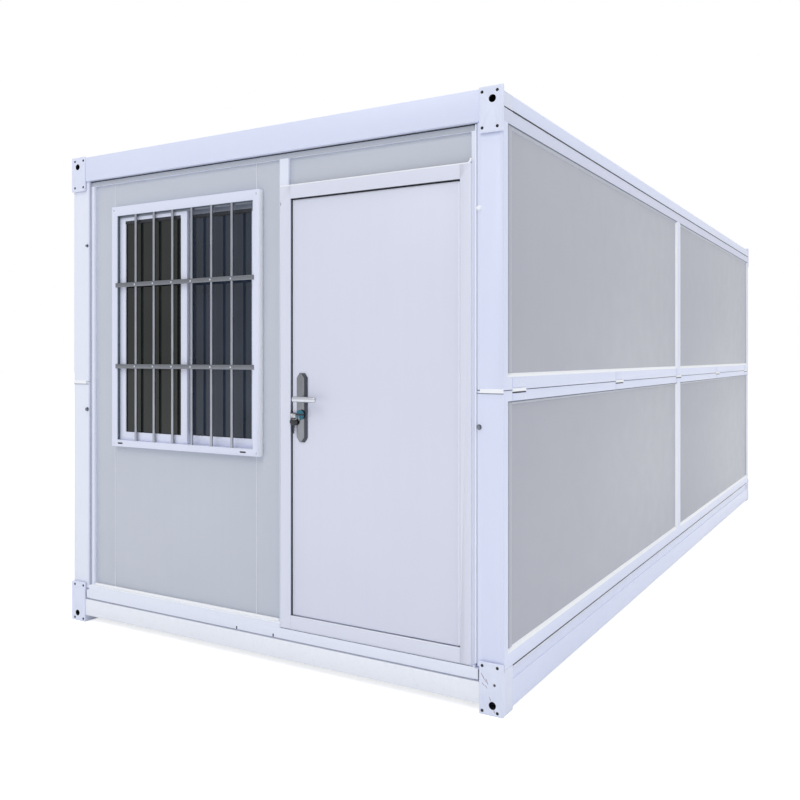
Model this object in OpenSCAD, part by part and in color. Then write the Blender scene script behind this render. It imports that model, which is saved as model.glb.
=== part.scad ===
// Folding container house. A steel base and a steel roof carry corner fittings, the
// side walls are hinged at mid height so that they fold inwards, and the end walls are
// framed units between the posts. The front end wall hangs on hinges under the roof
// and carries a barred sliding window and a door.
// X runs across the front, Y from front to rear and Z up from the ground. The origin
// is on the ground under the middle of the house.

/* [Overall] */
// Width over the corner fittings
overall_w = 2500; // [2400:10:3200]
// Length over the corner fittings
overall_l = 5850; // [3000:10:7200]
// Height from the ground to the top of the corner fittings
overall_h = 2450; // [2400:10:3000]

/* [Corner fittings] */
// Width of a fitting's end plate
fitting_w = 103; // [90:1:115]
// Length of a fitting along the house
fitting_l = 100; // [80:1:160]
// Thickness of the end plates
plate_t = 10; // [6:1:11]
// Wall of the hollow part of a fitting
fitting_wall = 8; // [5:1:12]
// Height of the end plates at the roof
roof_plate_h = 180; // [150:1:220]
// Height of the end plates at the base
base_plate_h = 205; // [190:1:240]
// Diameter of the bolt holes in the end plates
bolt_hole_d = 12; // [8:1:16]
// Bolt hole centres from the plate's outer edge
bolt_inset_outer = 25; // [18:1:30]
// Bolt hole centres from the plate's inner edge
bolt_inset_inner = 13; // [10:1:20]
// Bolt hole centres from the ends of a roof plate
bolt_inset_roof = 20; // [12:1:30]
// Bolt hole centres from the ends of a base plate
bolt_inset_base = 15; // [12:1:20]
// Depth of the bolt holes in the posts behind the plates
bolt_depth = 30; // [15:1:40]
// Diameter of the lifting eyes
eye_d = 30; // [20:1:36]
// Lifting eye centres from the outer edge
eye_inset = 46; // [35:1:52]
// Lifting eye centres below the top of a roof plate
eye_drop = 50; // [40:1:60]
// Lifting eye centres above the ground
eye_rise = 41; // [30:1:60]

/* [Base] */
// Height of the underside of the end beams above the ground
base_end_z = 36; // [10:1:45]
// Height of the top of the end beams and of the floor
floor_z = 121; // [110:1:140]
// Height of the underside of the side beams above the ground
base_side_z = 13; // [0:1:30]
// Height of the ledge on the side beams
base_ledge_z = 120; // [80:1:150]
// Depth of the ledge on the side beams
base_ledge = 6; // [2:1:15]
// Height of the seat that carries the side walls
base_seat_z = 178; // [165:1:185]
// Thickness of the floor deck
floor_t = 24; // [12:1:30]
// Width of a floor joist
joist_w = 50; // [30:1:80]
// Height of a floor joist
joist_h = 54; // [30:1:60]
// Number of floor joists
joist_count = 9; // [4:1:12]

/* [Roof] */
// Drop of the end beams below the fittings' tops
roof_end_drop = 5; // [0:1:15]
// Height of the roof's end beams
roof_end_h = 126; // [100:1:140]
// Drop of the side walls' top below the fittings' tops
roof_seat_drop = 85; // [70:1:100]
// Height of the roof side beams
roof_side_h = 76; // [60:1:80]
// Bevel on the outer top edge of the roof side beams
roof_bevel = 16; // [4:1:24]
// Thickness of the roof panel
roof_panel_t = 60; // [40:1:64]

/* [Side walls] */
// Height of the fold line
fold_z = 1264; // [1000:1:1400]
// Gap between the two halves at the fold line
fold_gap = 3; // [1:0.5:6]
// Thickness of the side wall frames
side_frame_t = 60; // [50:1:80]
// Thickness of the side wall panels
side_panel_t = 50; // [40:1:54]
// Setback of the side frames from the fittings' sides
side_setback = 3; // [2:1:5]
// Setback of the side panels from their frames
side_panel_setback = 10; // [2:1:10]
// Width of the sloping bead round a side panel
bead_w = 16; // [8:1:20]
// Width of the corner posts on the end faces
post_w = 120; // [104:1:140]
// Setback of the posts from the end plane
post_setback = 12; // [11:1:20]
// Bevel on the inner front edge of the posts
post_bevel = 6; // [2:1:10]
// Distance of the first panel from the end plane
end_stile = 70; // [50:1:90]
// Width of the middle stile
mid_stile_w = 120; // [80:1:160]
// Height of the lower half's bottom rail
lower_bottom_rail = 72; // [50:1:90]
// Height of the lower half's top rail
lower_top_rail = 57; // [40:1:80]
// Height of the upper half's bottom rail
upper_bottom_rail = 67; // [40:1:80]
// Height of the upper half's top rail
upper_top_rail = 70; // [50:1:90]
// Number of fold hinges on each side
fold_hinge_count = 5; // [3:1:9]
// First fold hinge from the end plane
fold_hinge_inset = 165; // [120:1:300]
// Length of a fold hinge
fold_hinge_l = 137; // [80:1:160]
// Height of a fold hinge's upper leaf above the fold line
fold_leaf_up = 50; // [30:1:51]
// Height of a fold hinge's lower leaf below the fold line
fold_leaf_down = 40; // [30:1:41]
// Diameter of a fold hinge's knuckle
fold_knuckle_d = 18; // [12:1:20]
// Height of the lip on the front of the upper posts
lip_h = 16; // [8:1:24]
// Thickness of the lip on the front of the upper posts
lip_t = 5; // [2:1:8]

/* [End walls] */
// Gap between an end wall and the posts
wall_side_gap = 5.5; // [5:0.5:8]
// Gap above an end wall
wall_top_gap = 6; // [5:0.5:10]
// Gap below an end wall
wall_bottom_gap = 7.5; // [7:0.5:12]
// Distance of the end walls' inner face from the end plane
wall_depth = 88; // [80:1:89]
// Setback of the trims and studs from the end plane
trim_setback = 24; // [20:1:30]
// Width of the trims round an end wall
trim_w = 22; // [15:1:40]
// Setback of the wall panels from the end plane
panel_setback = 38; // [32:1:60]
// Setback of the sill rail from the end plane
sill_setback = 5; // [2:1:12]
// Height of the sill rail
sill_h = 68.5; // [60:0.5:110]
// Gap between the ends of the sill rail and the fittings
sill_side_gap = 7; // [5:0.5:12]
// Gap between the ends of the sill rail and the posts above them
sill_top_gap = 7; // [5:0.5:12]
// Width of a weep slot in the sill rail
weep_w = 8; // [4:1:12]
// Height of a weep slot in the sill rail
weep_h = 14; // [6:1:20]
// Weep slots to the left and right of the middle of the sill rail
weep_left = 104; // [60:1:400]
weep_right = 113; // [60:1:113]
// Width of the stud beside the door
stud_w = 51; // [35:1:80]
// Overlap of the door frame's flange on the stud
stud_overlap = 34; // [10:1:34]
// Width of the first wall panel
first_panel_w = 144.5; // [100:0.5:150]
// Width of a wall panel
panel_w = 948; // [800:1:960]
// Number of wall hinges
wall_hinge_count = 3; // [2:1:5]
// Length of a wall hinge
wall_hinge_l = 120; // [80:1:160]
// Height of a wall hinge's leaf
wall_hinge_h = 50; // [30:1:80]
// Diameter of a wall hinge's knuckles
wall_knuckle_d = 14; // [12:1:18]
// Diameter of a wall hinge's pin
wall_pin_d = 8; // [6:1:9]

/* [Window] */
// Left edge of the window frame from the edge of the wall
window_inset = 173; // [165:0.5:190]
// Height of the window frame's underside above the ground
window_z = 936.5; // [800:0.5:960]
// Width of the window frame
window_w = 980; // [800:1:990]
// Height of the window frame
window_h = 1230; // [900:1:1250]
// Setback of the window frame from the end plane
window_setback = 9; // [9:1:20]
// Width of the window frame's side members
window_side = 39; // [30:1:50]
// Height of the window frame's head
window_head = 48; // [30:1:60]
// Height of the window frame's sill
window_sill = 33; // [25:1:50]
// Overlap of the window frame's flange on the wall panels
window_flange = 12; // [6:1:20]
// Setback of the outer sash from the end plane
sash_setback = 28; // [26:1:30]
// Thickness of a sash
sash_t = 22; // [16:1:26]
// Width of the sash members
sash_w = 42; // [30:1:50]
// Thickness of the glass
glass_t = 5; // [3:1:8]
// Gap between the two sashes
sash_gap = 2; // [1:0.5:4]
// Number of window bars
bar_count = 6; // [3:1:8]
// Spacing of the window bars
bar_pitch = 128; // [80:1:140]
// Diameter of the window bars
bar_d = 16; // [10:1:16]
// Height of the lower cross bar above the window's sill
cross_bar_low = 378; // [200:1:500]
// Height of the upper cross bar above the window's sill
cross_bar_high = 793; // [550:1:1000]
// Height of a cross bar
cross_bar_h = 22; // [15:1:30]
// Thickness of a cross bar
cross_bar_t = 4; // [3:1:6]

/* [Door] */
// Right edge of the door frame from the edge of the wall
door_inset = 6.5; // [0:0.5:10]
// Width of the door frame's face
door_frame_w = 965; // [800:1:980]
// Height of the door frame's face
door_frame_h = 1982; // [1800:1:2040]
// Height of the sill rail under the door frame
door_sill_h = 50.5; // [40:0.5:60]
// Width of the door frame's members
door_face = 58; // [45:1:70]
// Setback of the door frame from the end plane
door_setback = 6; // [4:1:12]
// Setback of the door leaf from the end plane
leaf_setback = 16; // [14:1:20]
// Thickness of the door leaf
leaf_t = 45; // [38:1:45]
// Gap at the lock edge of the leaf
lock_gap = 5.8; // [5.8:0.1:8]
// Gap at the pivot edge of the leaf
pivot_gap = 10.5; // [10.5:0.5:14]
// Gap above and below the leaf
leaf_gap = 5.5; // [5:0.5:8]
// Gap between the leaf and the stop
stop_gap = 8; // [8:0.5:10]
// Width of the stop
stop_w = 15; // [10:1:25]
// Pivot axis from the leaf's edge and from its outer face
pivot_inset = 12; // [10:1:12]
// Diameter of the pivot pins
pivot_d = 9; // [6:1:12]
// Length of a pivot pin inside the leaf
pivot_l = 30; // [20:1:50]
// Running clearance round the pins and the spindle
running_gap = 0.3; // [0.2:0.05:0.5]

/* [Handle] */
// Spindle axis from the leaf's lock edge
backset = 55; // [45:1:80]
// Height of the middle of the handle plates above the ground
handle_z = 1170; // [900:1:1200]
// Width of a handle plate
handle_plate_w = 58; // [40:1:60]
// Height of a handle plate
handle_plate_h = 308; // [200:1:320]
// Thickness of a handle plate
handle_plate_t = 8; // [4:1:10]
// Height of the spindle above the middle of the plates
spindle_rise = 39; // [20:1:60]
// Drop of the lock cylinder below the middle of the plates
cylinder_drop = 44; // [30:1:80]
// Diameter of the spindle
spindle_d = 8; // [6:1:10]
// Diameter of the lever's neck and grip
lever_d = 18; // [14:1:22]
// Length of the lever from the spindle axis
lever_l = 113; // [90:1:130]
// Distance of the lever's grip from the handle plate
lever_reach = 41; // [35:1:50]
// Diameter of the lock cylinder
cylinder_d = 17; // [12:1:20]
// Projection of the lock cylinder from the plates
cylinder_out = 4; // [1:1:10]

/* [Hidden] */
$fn = 48;
// Overshoot of cutting shapes past the faces they cut
cut = 1;

half_w = overall_w / 2;
half_l = overall_l / 2;
inner_half_w = half_w - fitting_w;

// Side beams and their seams
side_face = half_w - side_setback;
side_back = side_face - side_frame_t;
lip_lap = 4;
seam_h = 6;
seam_depth = 12;
roof_seam = 4;
roof_seat_z = overall_h - roof_seat_drop;
roof_end_z = overall_h - roof_end_drop - roof_end_h;
beam_setback = 3;
end_beam_back = wall_depth + 2;
roof_panel_rise = 10;

// Posts and the end walls between them
post_inner = half_w - post_w;
wall_half_w = min(post_inner, inner_half_w) - wall_side_gap;
wall_low = floor_z + wall_bottom_gap;
wall_high = roof_end_z - wall_top_gap;
sill_z = wall_low + sill_h;
sill_half_w = inner_half_w - sill_side_gap;
sill_end_z = base_seat_z - sill_top_gap;
weep_d = 12;
panel_high = wall_high - trim_w;

// The wall hinges: the axis runs along X behind the wall's inner top edge
wall_axis_d = wall_depth + 10;
wall_axis_z = roof_end_z - 12;
knuckle_l = wall_hinge_l / 3 - 1;

// Window, from the frame's corner at the lower left
win_x0 = window_inset - wall_half_w;
win_x1 = win_x0 + window_w;
win_z1 = window_z + window_h;
glass_x0 = win_x0 + window_side;
glass_x1 = win_x1 - window_side;
light_z0 = window_z + window_sill;
light_z1 = win_z1 - window_head;
sash_span = (glass_x1 - glass_x0 + sash_w) / 2;
// Length of a cross bar that lies on the window frame at each end
cross_bar_end = 8;
// Depth to which the round bars are welded into the cross bars
bar_weld = 0.5;

// Door frame and leaf
door_x1 = wall_half_w - door_inset;
door_x0 = door_x1 - door_frame_w;
door_z = wall_low + door_sill_h;
door_z1 = door_z + door_frame_h;
leaf_x0 = door_x0 + door_face + lock_gap;
leaf_x1 = door_x1 - door_face - pivot_gap;
leaf_z0 = door_z + door_face + leaf_gap;
leaf_z1 = door_z1 - door_face - leaf_gap;
jamb_x0 = door_x0 + stud_overlap;
head_z = door_z1 - stud_overlap;
pivot_x = leaf_x1 - pivot_inset;
pivot_depth = leaf_setback + pivot_inset;
leaf_back = leaf_setback + leaf_t;
spindle_x = leaf_x0 + backset;
spindle_z = handle_z + spindle_rise;
cylinder_z = handle_z - cylinder_drop;
outer_plate_d = leaf_setback - handle_plate_t;
inner_plate_d = leaf_back + handle_plate_t;

// Panel joints of the front wall
joint_1 = trim_w + first_panel_w - wall_half_w;
joint_2 = joint_1 + panel_w;
stud_x0 = jamb_x0 - stud_w;

steel = "#dfe4f4";
grey_panel = "#b4bac6";
alu = "#e6eaf6";
stainless = "#9a9da3";

// Distance behind the front end plane, as a Y coordinate
function depth(d) = d - half_l;

// A box between two corners, given as ranges along X, Y and Z
module slab(x, y, z) {
    translate([x[0], y[0], z[0]])
        cube([x[1] - x[0], y[1] - y[0], z[1] - z[0]]);
}

// A box whose Y range is given as distances behind the front end plane
module front_slab(x, d, z) {
    slab(x, [depth(d[0]), depth(d[1])], z);
}

// A cylinder along Y, between two distances behind the front end plane
module front_rod(x, d, z, diameter) {
    translate([x, depth(d[0]), z])
        rotate([-90, 0, 0]) cylinder(d = diameter, h = d[1] - d[0]);
}

// A rectangular ring that stands in the front end wall
module front_ring(outer_x, outer_z, inner_x, inner_z, d) {
    difference() {
        front_slab(outer_x, d, outer_z);
        front_slab(inner_x, [d[0] - cut, d[1] + cut], inner_z);
    }
}

// The same piece on the left side, or at the rear end
module on_left() {
    mirror([1, 0, 0]) children();
}
module at_rear() {
    mirror([0, 1, 0]) children();
}

// ---- Base ----

module base_end_beam() {
    color(steel)
        front_slab([-inner_half_w, inner_half_w], [beam_setback, fitting_l], [base_end_z, floor_z]);
}

module base_side_outline() {
    ledge_x = side_face - base_ledge;
    polygon([
        [inner_half_w, base_side_z],
        [side_face, base_side_z],
        [side_face, base_ledge_z],
        [ledge_x, base_ledge_z],
        [ledge_x, base_seat_z - seam_h],
        [side_face - seam_depth, base_seat_z - seam_h],
        [side_face - seam_depth, base_seat_z],
        [inner_half_w, base_seat_z]
    ]);
}

module base_side_beam() {
    color(steel)
        translate([0, half_l - fitting_l, 0])
            rotate([90, 0, 0]) linear_extrude(overall_l - 2 * fitting_l) base_side_outline();
}

module plate_holes(low, high, eye_z) {
    for (x = [inner_half_w + bolt_inset_inner, half_w - bolt_inset_outer])
        for (z = [low, high])
            front_rod(x, [-cut, plate_t + cut], z, bolt_hole_d);
    front_rod(half_w - eye_inset, [-cut, plate_t + cut], eye_z, eye_d);
}

module base_corner() {
    color(steel)
        difference() {
            union() {
                front_slab([inner_half_w, half_w], [0, plate_t], [0, base_plate_h]);
                front_slab([inner_half_w, side_face], [0, fitting_l], [0, base_seat_z]);
            }
            front_slab(
                [inner_half_w + fitting_wall, side_face - fitting_wall],
                [plate_t, fitting_l - fitting_wall],
                [fitting_wall, base_seat_z - fitting_wall]
            );
            plate_holes(bolt_inset_base, base_plate_h - bolt_inset_base, eye_rise);
        }
}

module floor_joists() {
    span = overall_l - 2 * fitting_l - joist_w;
    color("silver")
        for (i = [0 : joist_count - 1])
            translate([0, -span / 2 + i * span / (joist_count - 1), 0])
                slab(
                    [-inner_half_w, inner_half_w],
                    [-joist_w / 2, joist_w / 2],
                    [floor_z - floor_t - joist_h, floor_z - floor_t]
                );
}

module floor_deck() {
    color("burlywood")
        slab(
            [-inner_half_w, inner_half_w],
            [depth(fitting_l), -depth(fitting_l)],
            [floor_z - floor_t, floor_z]
        );
}

// ---- Roof ----

module roof_end_beam() {
    color(steel)
        front_slab(
            [-inner_half_w, inner_half_w],
            [beam_setback, end_beam_back],
            [roof_end_z, roof_end_z + roof_end_h]
        );
}

// Outline of a roof side beam: its underside seats on the side wall, and a step along
// its outer edge leaves the seam
module roof_side_outline() {
    top = roof_seat_z + roof_side_h;
    polygon([
        [inner_half_w, roof_seat_z],
        [side_face - seam_depth, roof_seat_z],
        [side_face - seam_depth, roof_seat_z + roof_seam],
        [side_face, roof_seat_z + roof_seam],
        [side_face, top - roof_bevel],
        [side_face - roof_bevel, top],
        [inner_half_w, top]
    ]);
}

module roof_side_beam() {
    color(steel)
        translate([0, half_l - fitting_l, 0])
            rotate([90, 0, 0])
                linear_extrude(overall_l - 2 * fitting_l) roof_side_outline();
}

module roof_corner() {
    top = roof_seat_z + roof_side_h;
    low_bolt = overall_h - roof_plate_h + bolt_inset_roof;
    color(steel)
        difference() {
            union() {
                front_slab([inner_half_w, half_w], [0, plate_t], [overall_h - roof_plate_h, overall_h]);
                translate([0, depth(fitting_l), 0])
                    rotate([90, 0, 0]) linear_extrude(fitting_l) roof_side_outline();
            }
            front_slab(
                [inner_half_w + fitting_wall, side_face - roof_bevel - fitting_wall],
                [plate_t, fitting_l - fitting_wall],
                [roof_seat_z + fitting_wall, top - fitting_wall]
            );
            plate_holes(low_bolt, overall_h - bolt_inset_roof, overall_h - eye_drop);
        }
}

module roof_panel() {
    color("whitesmoke")
        slab(
            [-inner_half_w, inner_half_w],
            [depth(end_beam_back), -depth(end_beam_back)],
            [roof_seat_z + roof_panel_rise, roof_seat_z + roof_panel_rise + roof_panel_t]
        );
}

// ---- Side walls ----

// Outline of a bay's opening, from the inner face of the frame outwards. The outer
// part widens by the bead on both sides.
module bay_outline(low, high) {
    panel_face = side_face - side_panel_setback;
    polygon([
        [side_back - cut, low],
        [panel_face, low],
        [side_face, low - bead_w],
        [side_face + cut, low - bead_w],
        [side_face + cut, high + bead_w],
        [side_face, high + bead_w],
        [panel_face, high],
        [side_back - cut, high]
    ]);
}

// A bay's opening, whose outer edges slope in to the panel on all four sides
module bay(y, z) {
    margin = bead_w + 2 * cut;
    intersection() {
        translate([0, 0, z[0] - margin])
            linear_extrude(z[1] - z[0] + 2 * margin) bay_outline(y[0], y[1]);
        translate([0, y[1] + margin, 0])
            rotate([90, 0, 0])
                linear_extrude(y[1] - y[0] + 2 * margin) bay_outline(z[0], z[1]);
    }
}

// The bevel on the inner front edge of a corner post
module post_bevel_cut() {
    face = depth(post_setback);
    linear_extrude(overall_h)
        polygon([
            [post_inner - cut, face - cut],
            [post_inner + post_bevel + cut, face - cut],
            [post_inner - cut, face + post_bevel + cut]
        ]);
}

// One half of a side wall frame: two posts, two rails and the middle stile
module side_frame(low, high, bottom_rail, top_rail) {
    reach = -depth(post_setback);
    inner_reach = -depth(end_stile);
    difference() {
        union() {
            slab([side_back, side_face], [-reach, reach], [low, high]);
            for (end = [[-reach, -inner_reach], [inner_reach, reach]])
                slab([post_inner, side_face], end, [low, high]);
        }
        for (span = [[-inner_reach, -mid_stile_w / 2], [mid_stile_w / 2, inner_reach]])
            bay(span, [low + bottom_rail, high - top_rail]);
        for (flip = [0, 1])
            mirror([0, flip, 0]) post_bevel_cut();
    }
}

function fold_hinge_y(i) =
    depth(fold_hinge_inset) + i * (overall_l - 2 * fold_hinge_inset) / (fold_hinge_count - 1);

// The recess for the fold hinges' knuckles, cut from both halves
module fold_hinge_recess() {
    for (i = [0 : fold_hinge_count - 1])
        translate([half_w - fold_knuckle_d, fold_hinge_y(i) - fold_hinge_l / 2, fold_z - fold_knuckle_d / 2])
            cube([fold_knuckle_d, fold_hinge_l, fold_knuckle_d]);
}

// Bolt holes that carry on from the fittings' end plates into the posts
module post_bolt_holes(z) {
    for (x = [inner_half_w + bolt_inset_inner, half_w - bolt_inset_outer])
        for (flip = [0, 1])
            mirror([0, flip, 0])
                front_rod(x, [post_setback - cut, post_setback + bolt_depth], z, bolt_hole_d);
}

module lower_frame() {
    color(steel)
        difference() {
            side_frame(base_seat_z, fold_z - fold_gap / 2, lower_bottom_rail, lower_top_rail);
            fold_hinge_recess();
            post_bolt_holes(base_plate_h - bolt_inset_base);
        }
}

module upper_frame() {
    low_bolt = overall_h - roof_plate_h + bolt_inset_roof;
    color(steel) {
        difference() {
            union() {
                side_frame(fold_z + fold_gap / 2, roof_seat_z, upper_bottom_rail, upper_top_rail);
                for (flip = [0, 1])
                    mirror([0, flip, 0])
                        front_slab(
                            [inner_half_w, side_face],
                            [post_setback - lip_t, post_setback],
                            [fold_z + fold_gap / 2 + lip_lap - lip_h, fold_z + fold_gap / 2 + lip_lap]
                        );
            }
            fold_hinge_recess();
            post_bolt_holes(low_bolt);
            for (flip = [0, 1])
                mirror([0, flip, 0])
                    front_slab(
                        [post_inner - cut, max(post_inner, inner_half_w)],
                        [beam_setback, end_beam_back],
                        [roof_end_z, roof_seat_z + cut]
                    );
        }
    }
}

module side_panels(low, high) {
    face = side_face - side_panel_setback;
    color(grey_panel)
        for (flip = [0, 1])
            mirror([0, flip, 0])
                slab([face - side_panel_t, face], [mid_stile_w / 2, -depth(end_stile)], [low, high]);
}

module lower_panels() {
    side_panels(base_seat_z + lower_bottom_rail, fold_z - fold_gap / 2 - lower_top_rail);
}

module upper_panels() {
    side_panels(fold_z + fold_gap / 2 + upper_bottom_rail, roof_seat_z - upper_top_rail);
}

module fold_hinges() {
    color(steel)
        for (i = [0 : fold_hinge_count - 1])
            translate([0, fold_hinge_y(i) - fold_hinge_l / 2, fold_z]) {
                slab([side_face, half_w], [0, fold_hinge_l], [-fold_leaf_down, fold_leaf_up]);
                translate([half_w - fold_knuckle_d / 2, 0, 0])
                    rotate([-90, 0, 0]) cylinder(d = fold_knuckle_d, h = fold_hinge_l);
            }
}

// ---- End walls ----

// The sill rail reaches under the corner posts, almost to the fittings
module sill_ends() {
    front_slab([-sill_half_w, sill_half_w], [sill_setback, wall_depth], [wall_low, sill_end_z]);
}

module rear_wall_frame() {
    color(steel)
        at_rear() {
            front_ring(
                [-wall_half_w, wall_half_w], [wall_low, wall_high],
                [-wall_half_w + trim_w, wall_half_w - trim_w], [sill_z, panel_high],
                [trim_setback, wall_depth]
            );
            front_slab([-wall_half_w, wall_half_w], [sill_setback, trim_setback], [wall_low, sill_z]);
            sill_ends();
        }
}

module rear_wall_panels() {
    color(grey_panel)
        at_rear()
            front_slab(
                [-wall_half_w + trim_w, wall_half_w - trim_w],
                [panel_setback, wall_depth],
                [sill_z, panel_high]
            );
}

// Middles of the wall hinges along X
function wall_hinge_x(i) =
    (2 * i / (wall_hinge_count - 1) - 1) * (wall_half_w - 2 * wall_hinge_l);

// A knuckle or a pin along X, centred on the wall hinge axis
module wall_hinge_rod(x, length, diameter) {
    translate([x - length / 2, depth(wall_axis_d), wall_axis_z])
        rotate([0, 90, 0]) cylinder(d = diameter, h = length);
}

// Upper leaf of a wall hinge, on the roof beam
module roof_leaf(x, length) {
    front_slab(
        [x - length / 2, x + length / 2],
        [end_beam_back, wall_axis_d - wall_pin_d / 2],
        [wall_axis_z, wall_axis_z + wall_hinge_h]
    );
}

// Lower leaf of a wall hinge, on the wall
module wall_leaf(x, length) {
    front_slab(
        [x - length / 2, x + length / 2],
        [wall_depth, wall_axis_d - wall_pin_d / 2 - running_gap],
        [wall_axis_z - wall_hinge_h, wall_axis_z]
    );
}

// The half of each wall hinge that is fixed to the roof beam: two leaves with a
// knuckle each, and the pin between them
module hinge_pins() {
    color(steel)
        for (i = [0 : wall_hinge_count - 1]) {
            for (side = [-1, 1]) {
                x = wall_hinge_x(i) + side * wall_hinge_l / 3;
                wall_hinge_rod(x, knuckle_l, wall_knuckle_d);
                roof_leaf(x, knuckle_l);
            }
            wall_hinge_rod(wall_hinge_x(i), wall_hinge_l - 2, wall_pin_d);
        }
}

// The half that is fixed to the wall: a leaf and one bored knuckle
module hinge_knuckles() {
    color(steel)
        for (i = [0 : wall_hinge_count - 1])
            difference() {
                union() {
                    wall_hinge_rod(wall_hinge_x(i), knuckle_l, wall_knuckle_d);
                    wall_leaf(wall_hinge_x(i), knuckle_l);
                }
                wall_hinge_rod(wall_hinge_x(i), wall_hinge_l, wall_pin_d + 2 * running_gap);
            }
}

// At the rear the two halves are one closed hinge
module rear_wall_hinges() {
    color(steel)
        at_rear()
            for (i = [0 : wall_hinge_count - 1]) {
                wall_hinge_rod(wall_hinge_x(i), wall_hinge_l, wall_knuckle_d);
                roof_leaf(wall_hinge_x(i), wall_hinge_l);
                wall_leaf(wall_hinge_x(i), wall_hinge_l);
            }
}

// The front wall's steel: left, top and right trims, the sill rail and the stud
// beside the door. The door frame closes it at the lower right.
module front_wall_frame() {
    d = [trim_setback, wall_depth];
    color(steel)
        difference() {
            union() {
                front_slab([-wall_half_w, -wall_half_w + trim_w], d, [wall_low, wall_high]);
                front_slab([-wall_half_w, wall_half_w], d, [panel_high, wall_high]);
                front_slab([wall_half_w - trim_w, wall_half_w], d, [head_z, wall_high]);
                front_slab([stud_x0, jamb_x0], d, [wall_low, wall_high]);
                front_slab([-wall_half_w, stud_x0 + cut], d, [wall_low, sill_z]);
                front_slab([-wall_half_w, door_x0], [sill_setback, trim_setback + cut], [wall_low, sill_z]);
                front_slab([-wall_half_w, wall_half_w], [sill_setback, wall_depth], [wall_low, door_z]);
                sill_ends();
            }
            for (x = [-weep_left, weep_right])
                front_slab(
                    [x - weep_w / 2, x + weep_w / 2],
                    [sill_setback - cut, sill_setback + weep_d],
                    [wall_low - cut, wall_low + weep_h]
                );
        }
}

module front_panel(x, z) {
    front_slab(x, [panel_setback, wall_depth], z);
}

module window_hole() {
    front_slab(
        [win_x0 + window_flange, win_x1 - window_flange],
        [panel_setback - cut, wall_depth + cut],
        [window_z + window_flange, win_z1 - window_flange]
    );
}

module front_panel_left() {
    color(grey_panel) front_panel([-wall_half_w + trim_w, joint_1], [sill_z, panel_high]);
}

module front_panel_middle() {
    color(grey_panel)
        difference() {
            front_panel([joint_1, joint_2], [sill_z, panel_high]);
            window_hole();
        }
}

module front_panel_right() {
    color(grey_panel)
        difference() {
            front_panel([joint_2, stud_x0], [sill_z, panel_high]);
            window_hole();
        }
}

module front_panel_transom() {
    color(grey_panel) front_panel([jamb_x0, wall_half_w - trim_w], [head_z, panel_high]);
}

// ---- Window ----

module window_frame() {
    color(alu) {
        front_ring(
            [win_x0, win_x1], [window_z, win_z1],
            [glass_x0, glass_x1], [light_z0, light_z1],
            [window_setback, panel_setback]
        );
        front_ring(
            [win_x0 + window_flange, win_x1 - window_flange],
            [window_z + window_flange, win_z1 - window_flange],
            [glass_x0, glass_x1], [light_z0, light_z1],
            [panel_setback, wall_depth]
        );
    }
}

// Setback and X range of the outer sash, at the left, and the inner sash, at the right
sashes = [
    [sash_setback, [glass_x0, glass_x0 + sash_span]],
    [sash_setback + sash_t + sash_gap, [glass_x1 - sash_span, glass_x1]]
];

module window_sashes() {
    color(alu)
        for (sash = sashes)
            front_ring(
                sash[1], [light_z0, light_z1],
                [sash[1][0] + sash_w, sash[1][1] - sash_w], [light_z0 + sash_w, light_z1 - sash_w],
                [sash[0], sash[0] + sash_t]
            );
}

module window_glass() {
    color("#3a4250")
        for (sash = sashes)
            front_slab(
                [sash[1][0] + sash_w, sash[1][1] - sash_w],
                [sash[0] + (sash_t - glass_t) / 2, sash[0] + (sash_t + glass_t) / 2],
                [light_z0 + sash_w, light_z1 - sash_w]
            );
}

module window_bars() {
    middle = (glass_x0 + glass_x1) / 2;
    bar_depth = window_setback + bar_d / 2 - bar_weld;
    color(stainless) {
        for (i = [0 : bar_count - 1])
            translate([middle + (i - (bar_count - 1) / 2) * bar_pitch, depth(bar_depth), light_z0])
                cylinder(d = bar_d, h = light_z1 - light_z0);
        for (z = [cross_bar_low, cross_bar_high])
            front_slab(
                [glass_x0 - cross_bar_end, glass_x1 + cross_bar_end],
                [window_setback - cross_bar_t, window_setback],
                [light_z0 + z - cross_bar_h / 2, light_z0 + z + cross_bar_h / 2]
            );
    }
}

// ---- Door ----

module pivot_pin(z) {
    translate([pivot_x, depth(pivot_depth), z]) cylinder(d = pivot_d, h = pivot_l + leaf_gap + cut);
}

module door_frame() {
    opening_x = [door_x0 + door_face, door_x1 - door_face];
    opening_z = [door_z + door_face, door_z1 - door_face];
    color(steel) {
        front_ring([door_x0, door_x1], [door_z, door_z1], opening_x, opening_z, [door_setback, trim_setback]);
        front_ring([jamb_x0, door_x1], [door_z, head_z], opening_x, opening_z, [trim_setback, wall_depth]);
        front_ring(
            [jamb_x0, door_x1], [door_z, head_z],
            [opening_x[0] + stop_w, opening_x[1] - stop_w],
            [opening_z[0] + stop_w, opening_z[1] - stop_w],
            [leaf_back + stop_gap, wall_depth]
        );
        pivot_pin(leaf_z0 - leaf_gap - cut);
        pivot_pin(leaf_z1 - pivot_l);
    }
}

module door_leaf() {
    bore_d = pivot_d + 2 * running_gap;
    color("#d5d8e8")
        difference() {
            front_slab([leaf_x0, leaf_x1], [leaf_setback, leaf_back], [leaf_z0, leaf_z1]);
            for (z = [leaf_z0 - cut, leaf_z1 - pivot_l - 1])
                translate([pivot_x, depth(pivot_depth), z]) cylinder(d = bore_d, h = pivot_l + 1 + cut);
            front_rod(spindle_x, [leaf_setback - cut, leaf_back + cut], spindle_z, spindle_d + 2 * running_gap);
            front_rod(spindle_x, [leaf_setback - cut, leaf_back + cut], cylinder_z, cylinder_d);
        }
}

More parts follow.
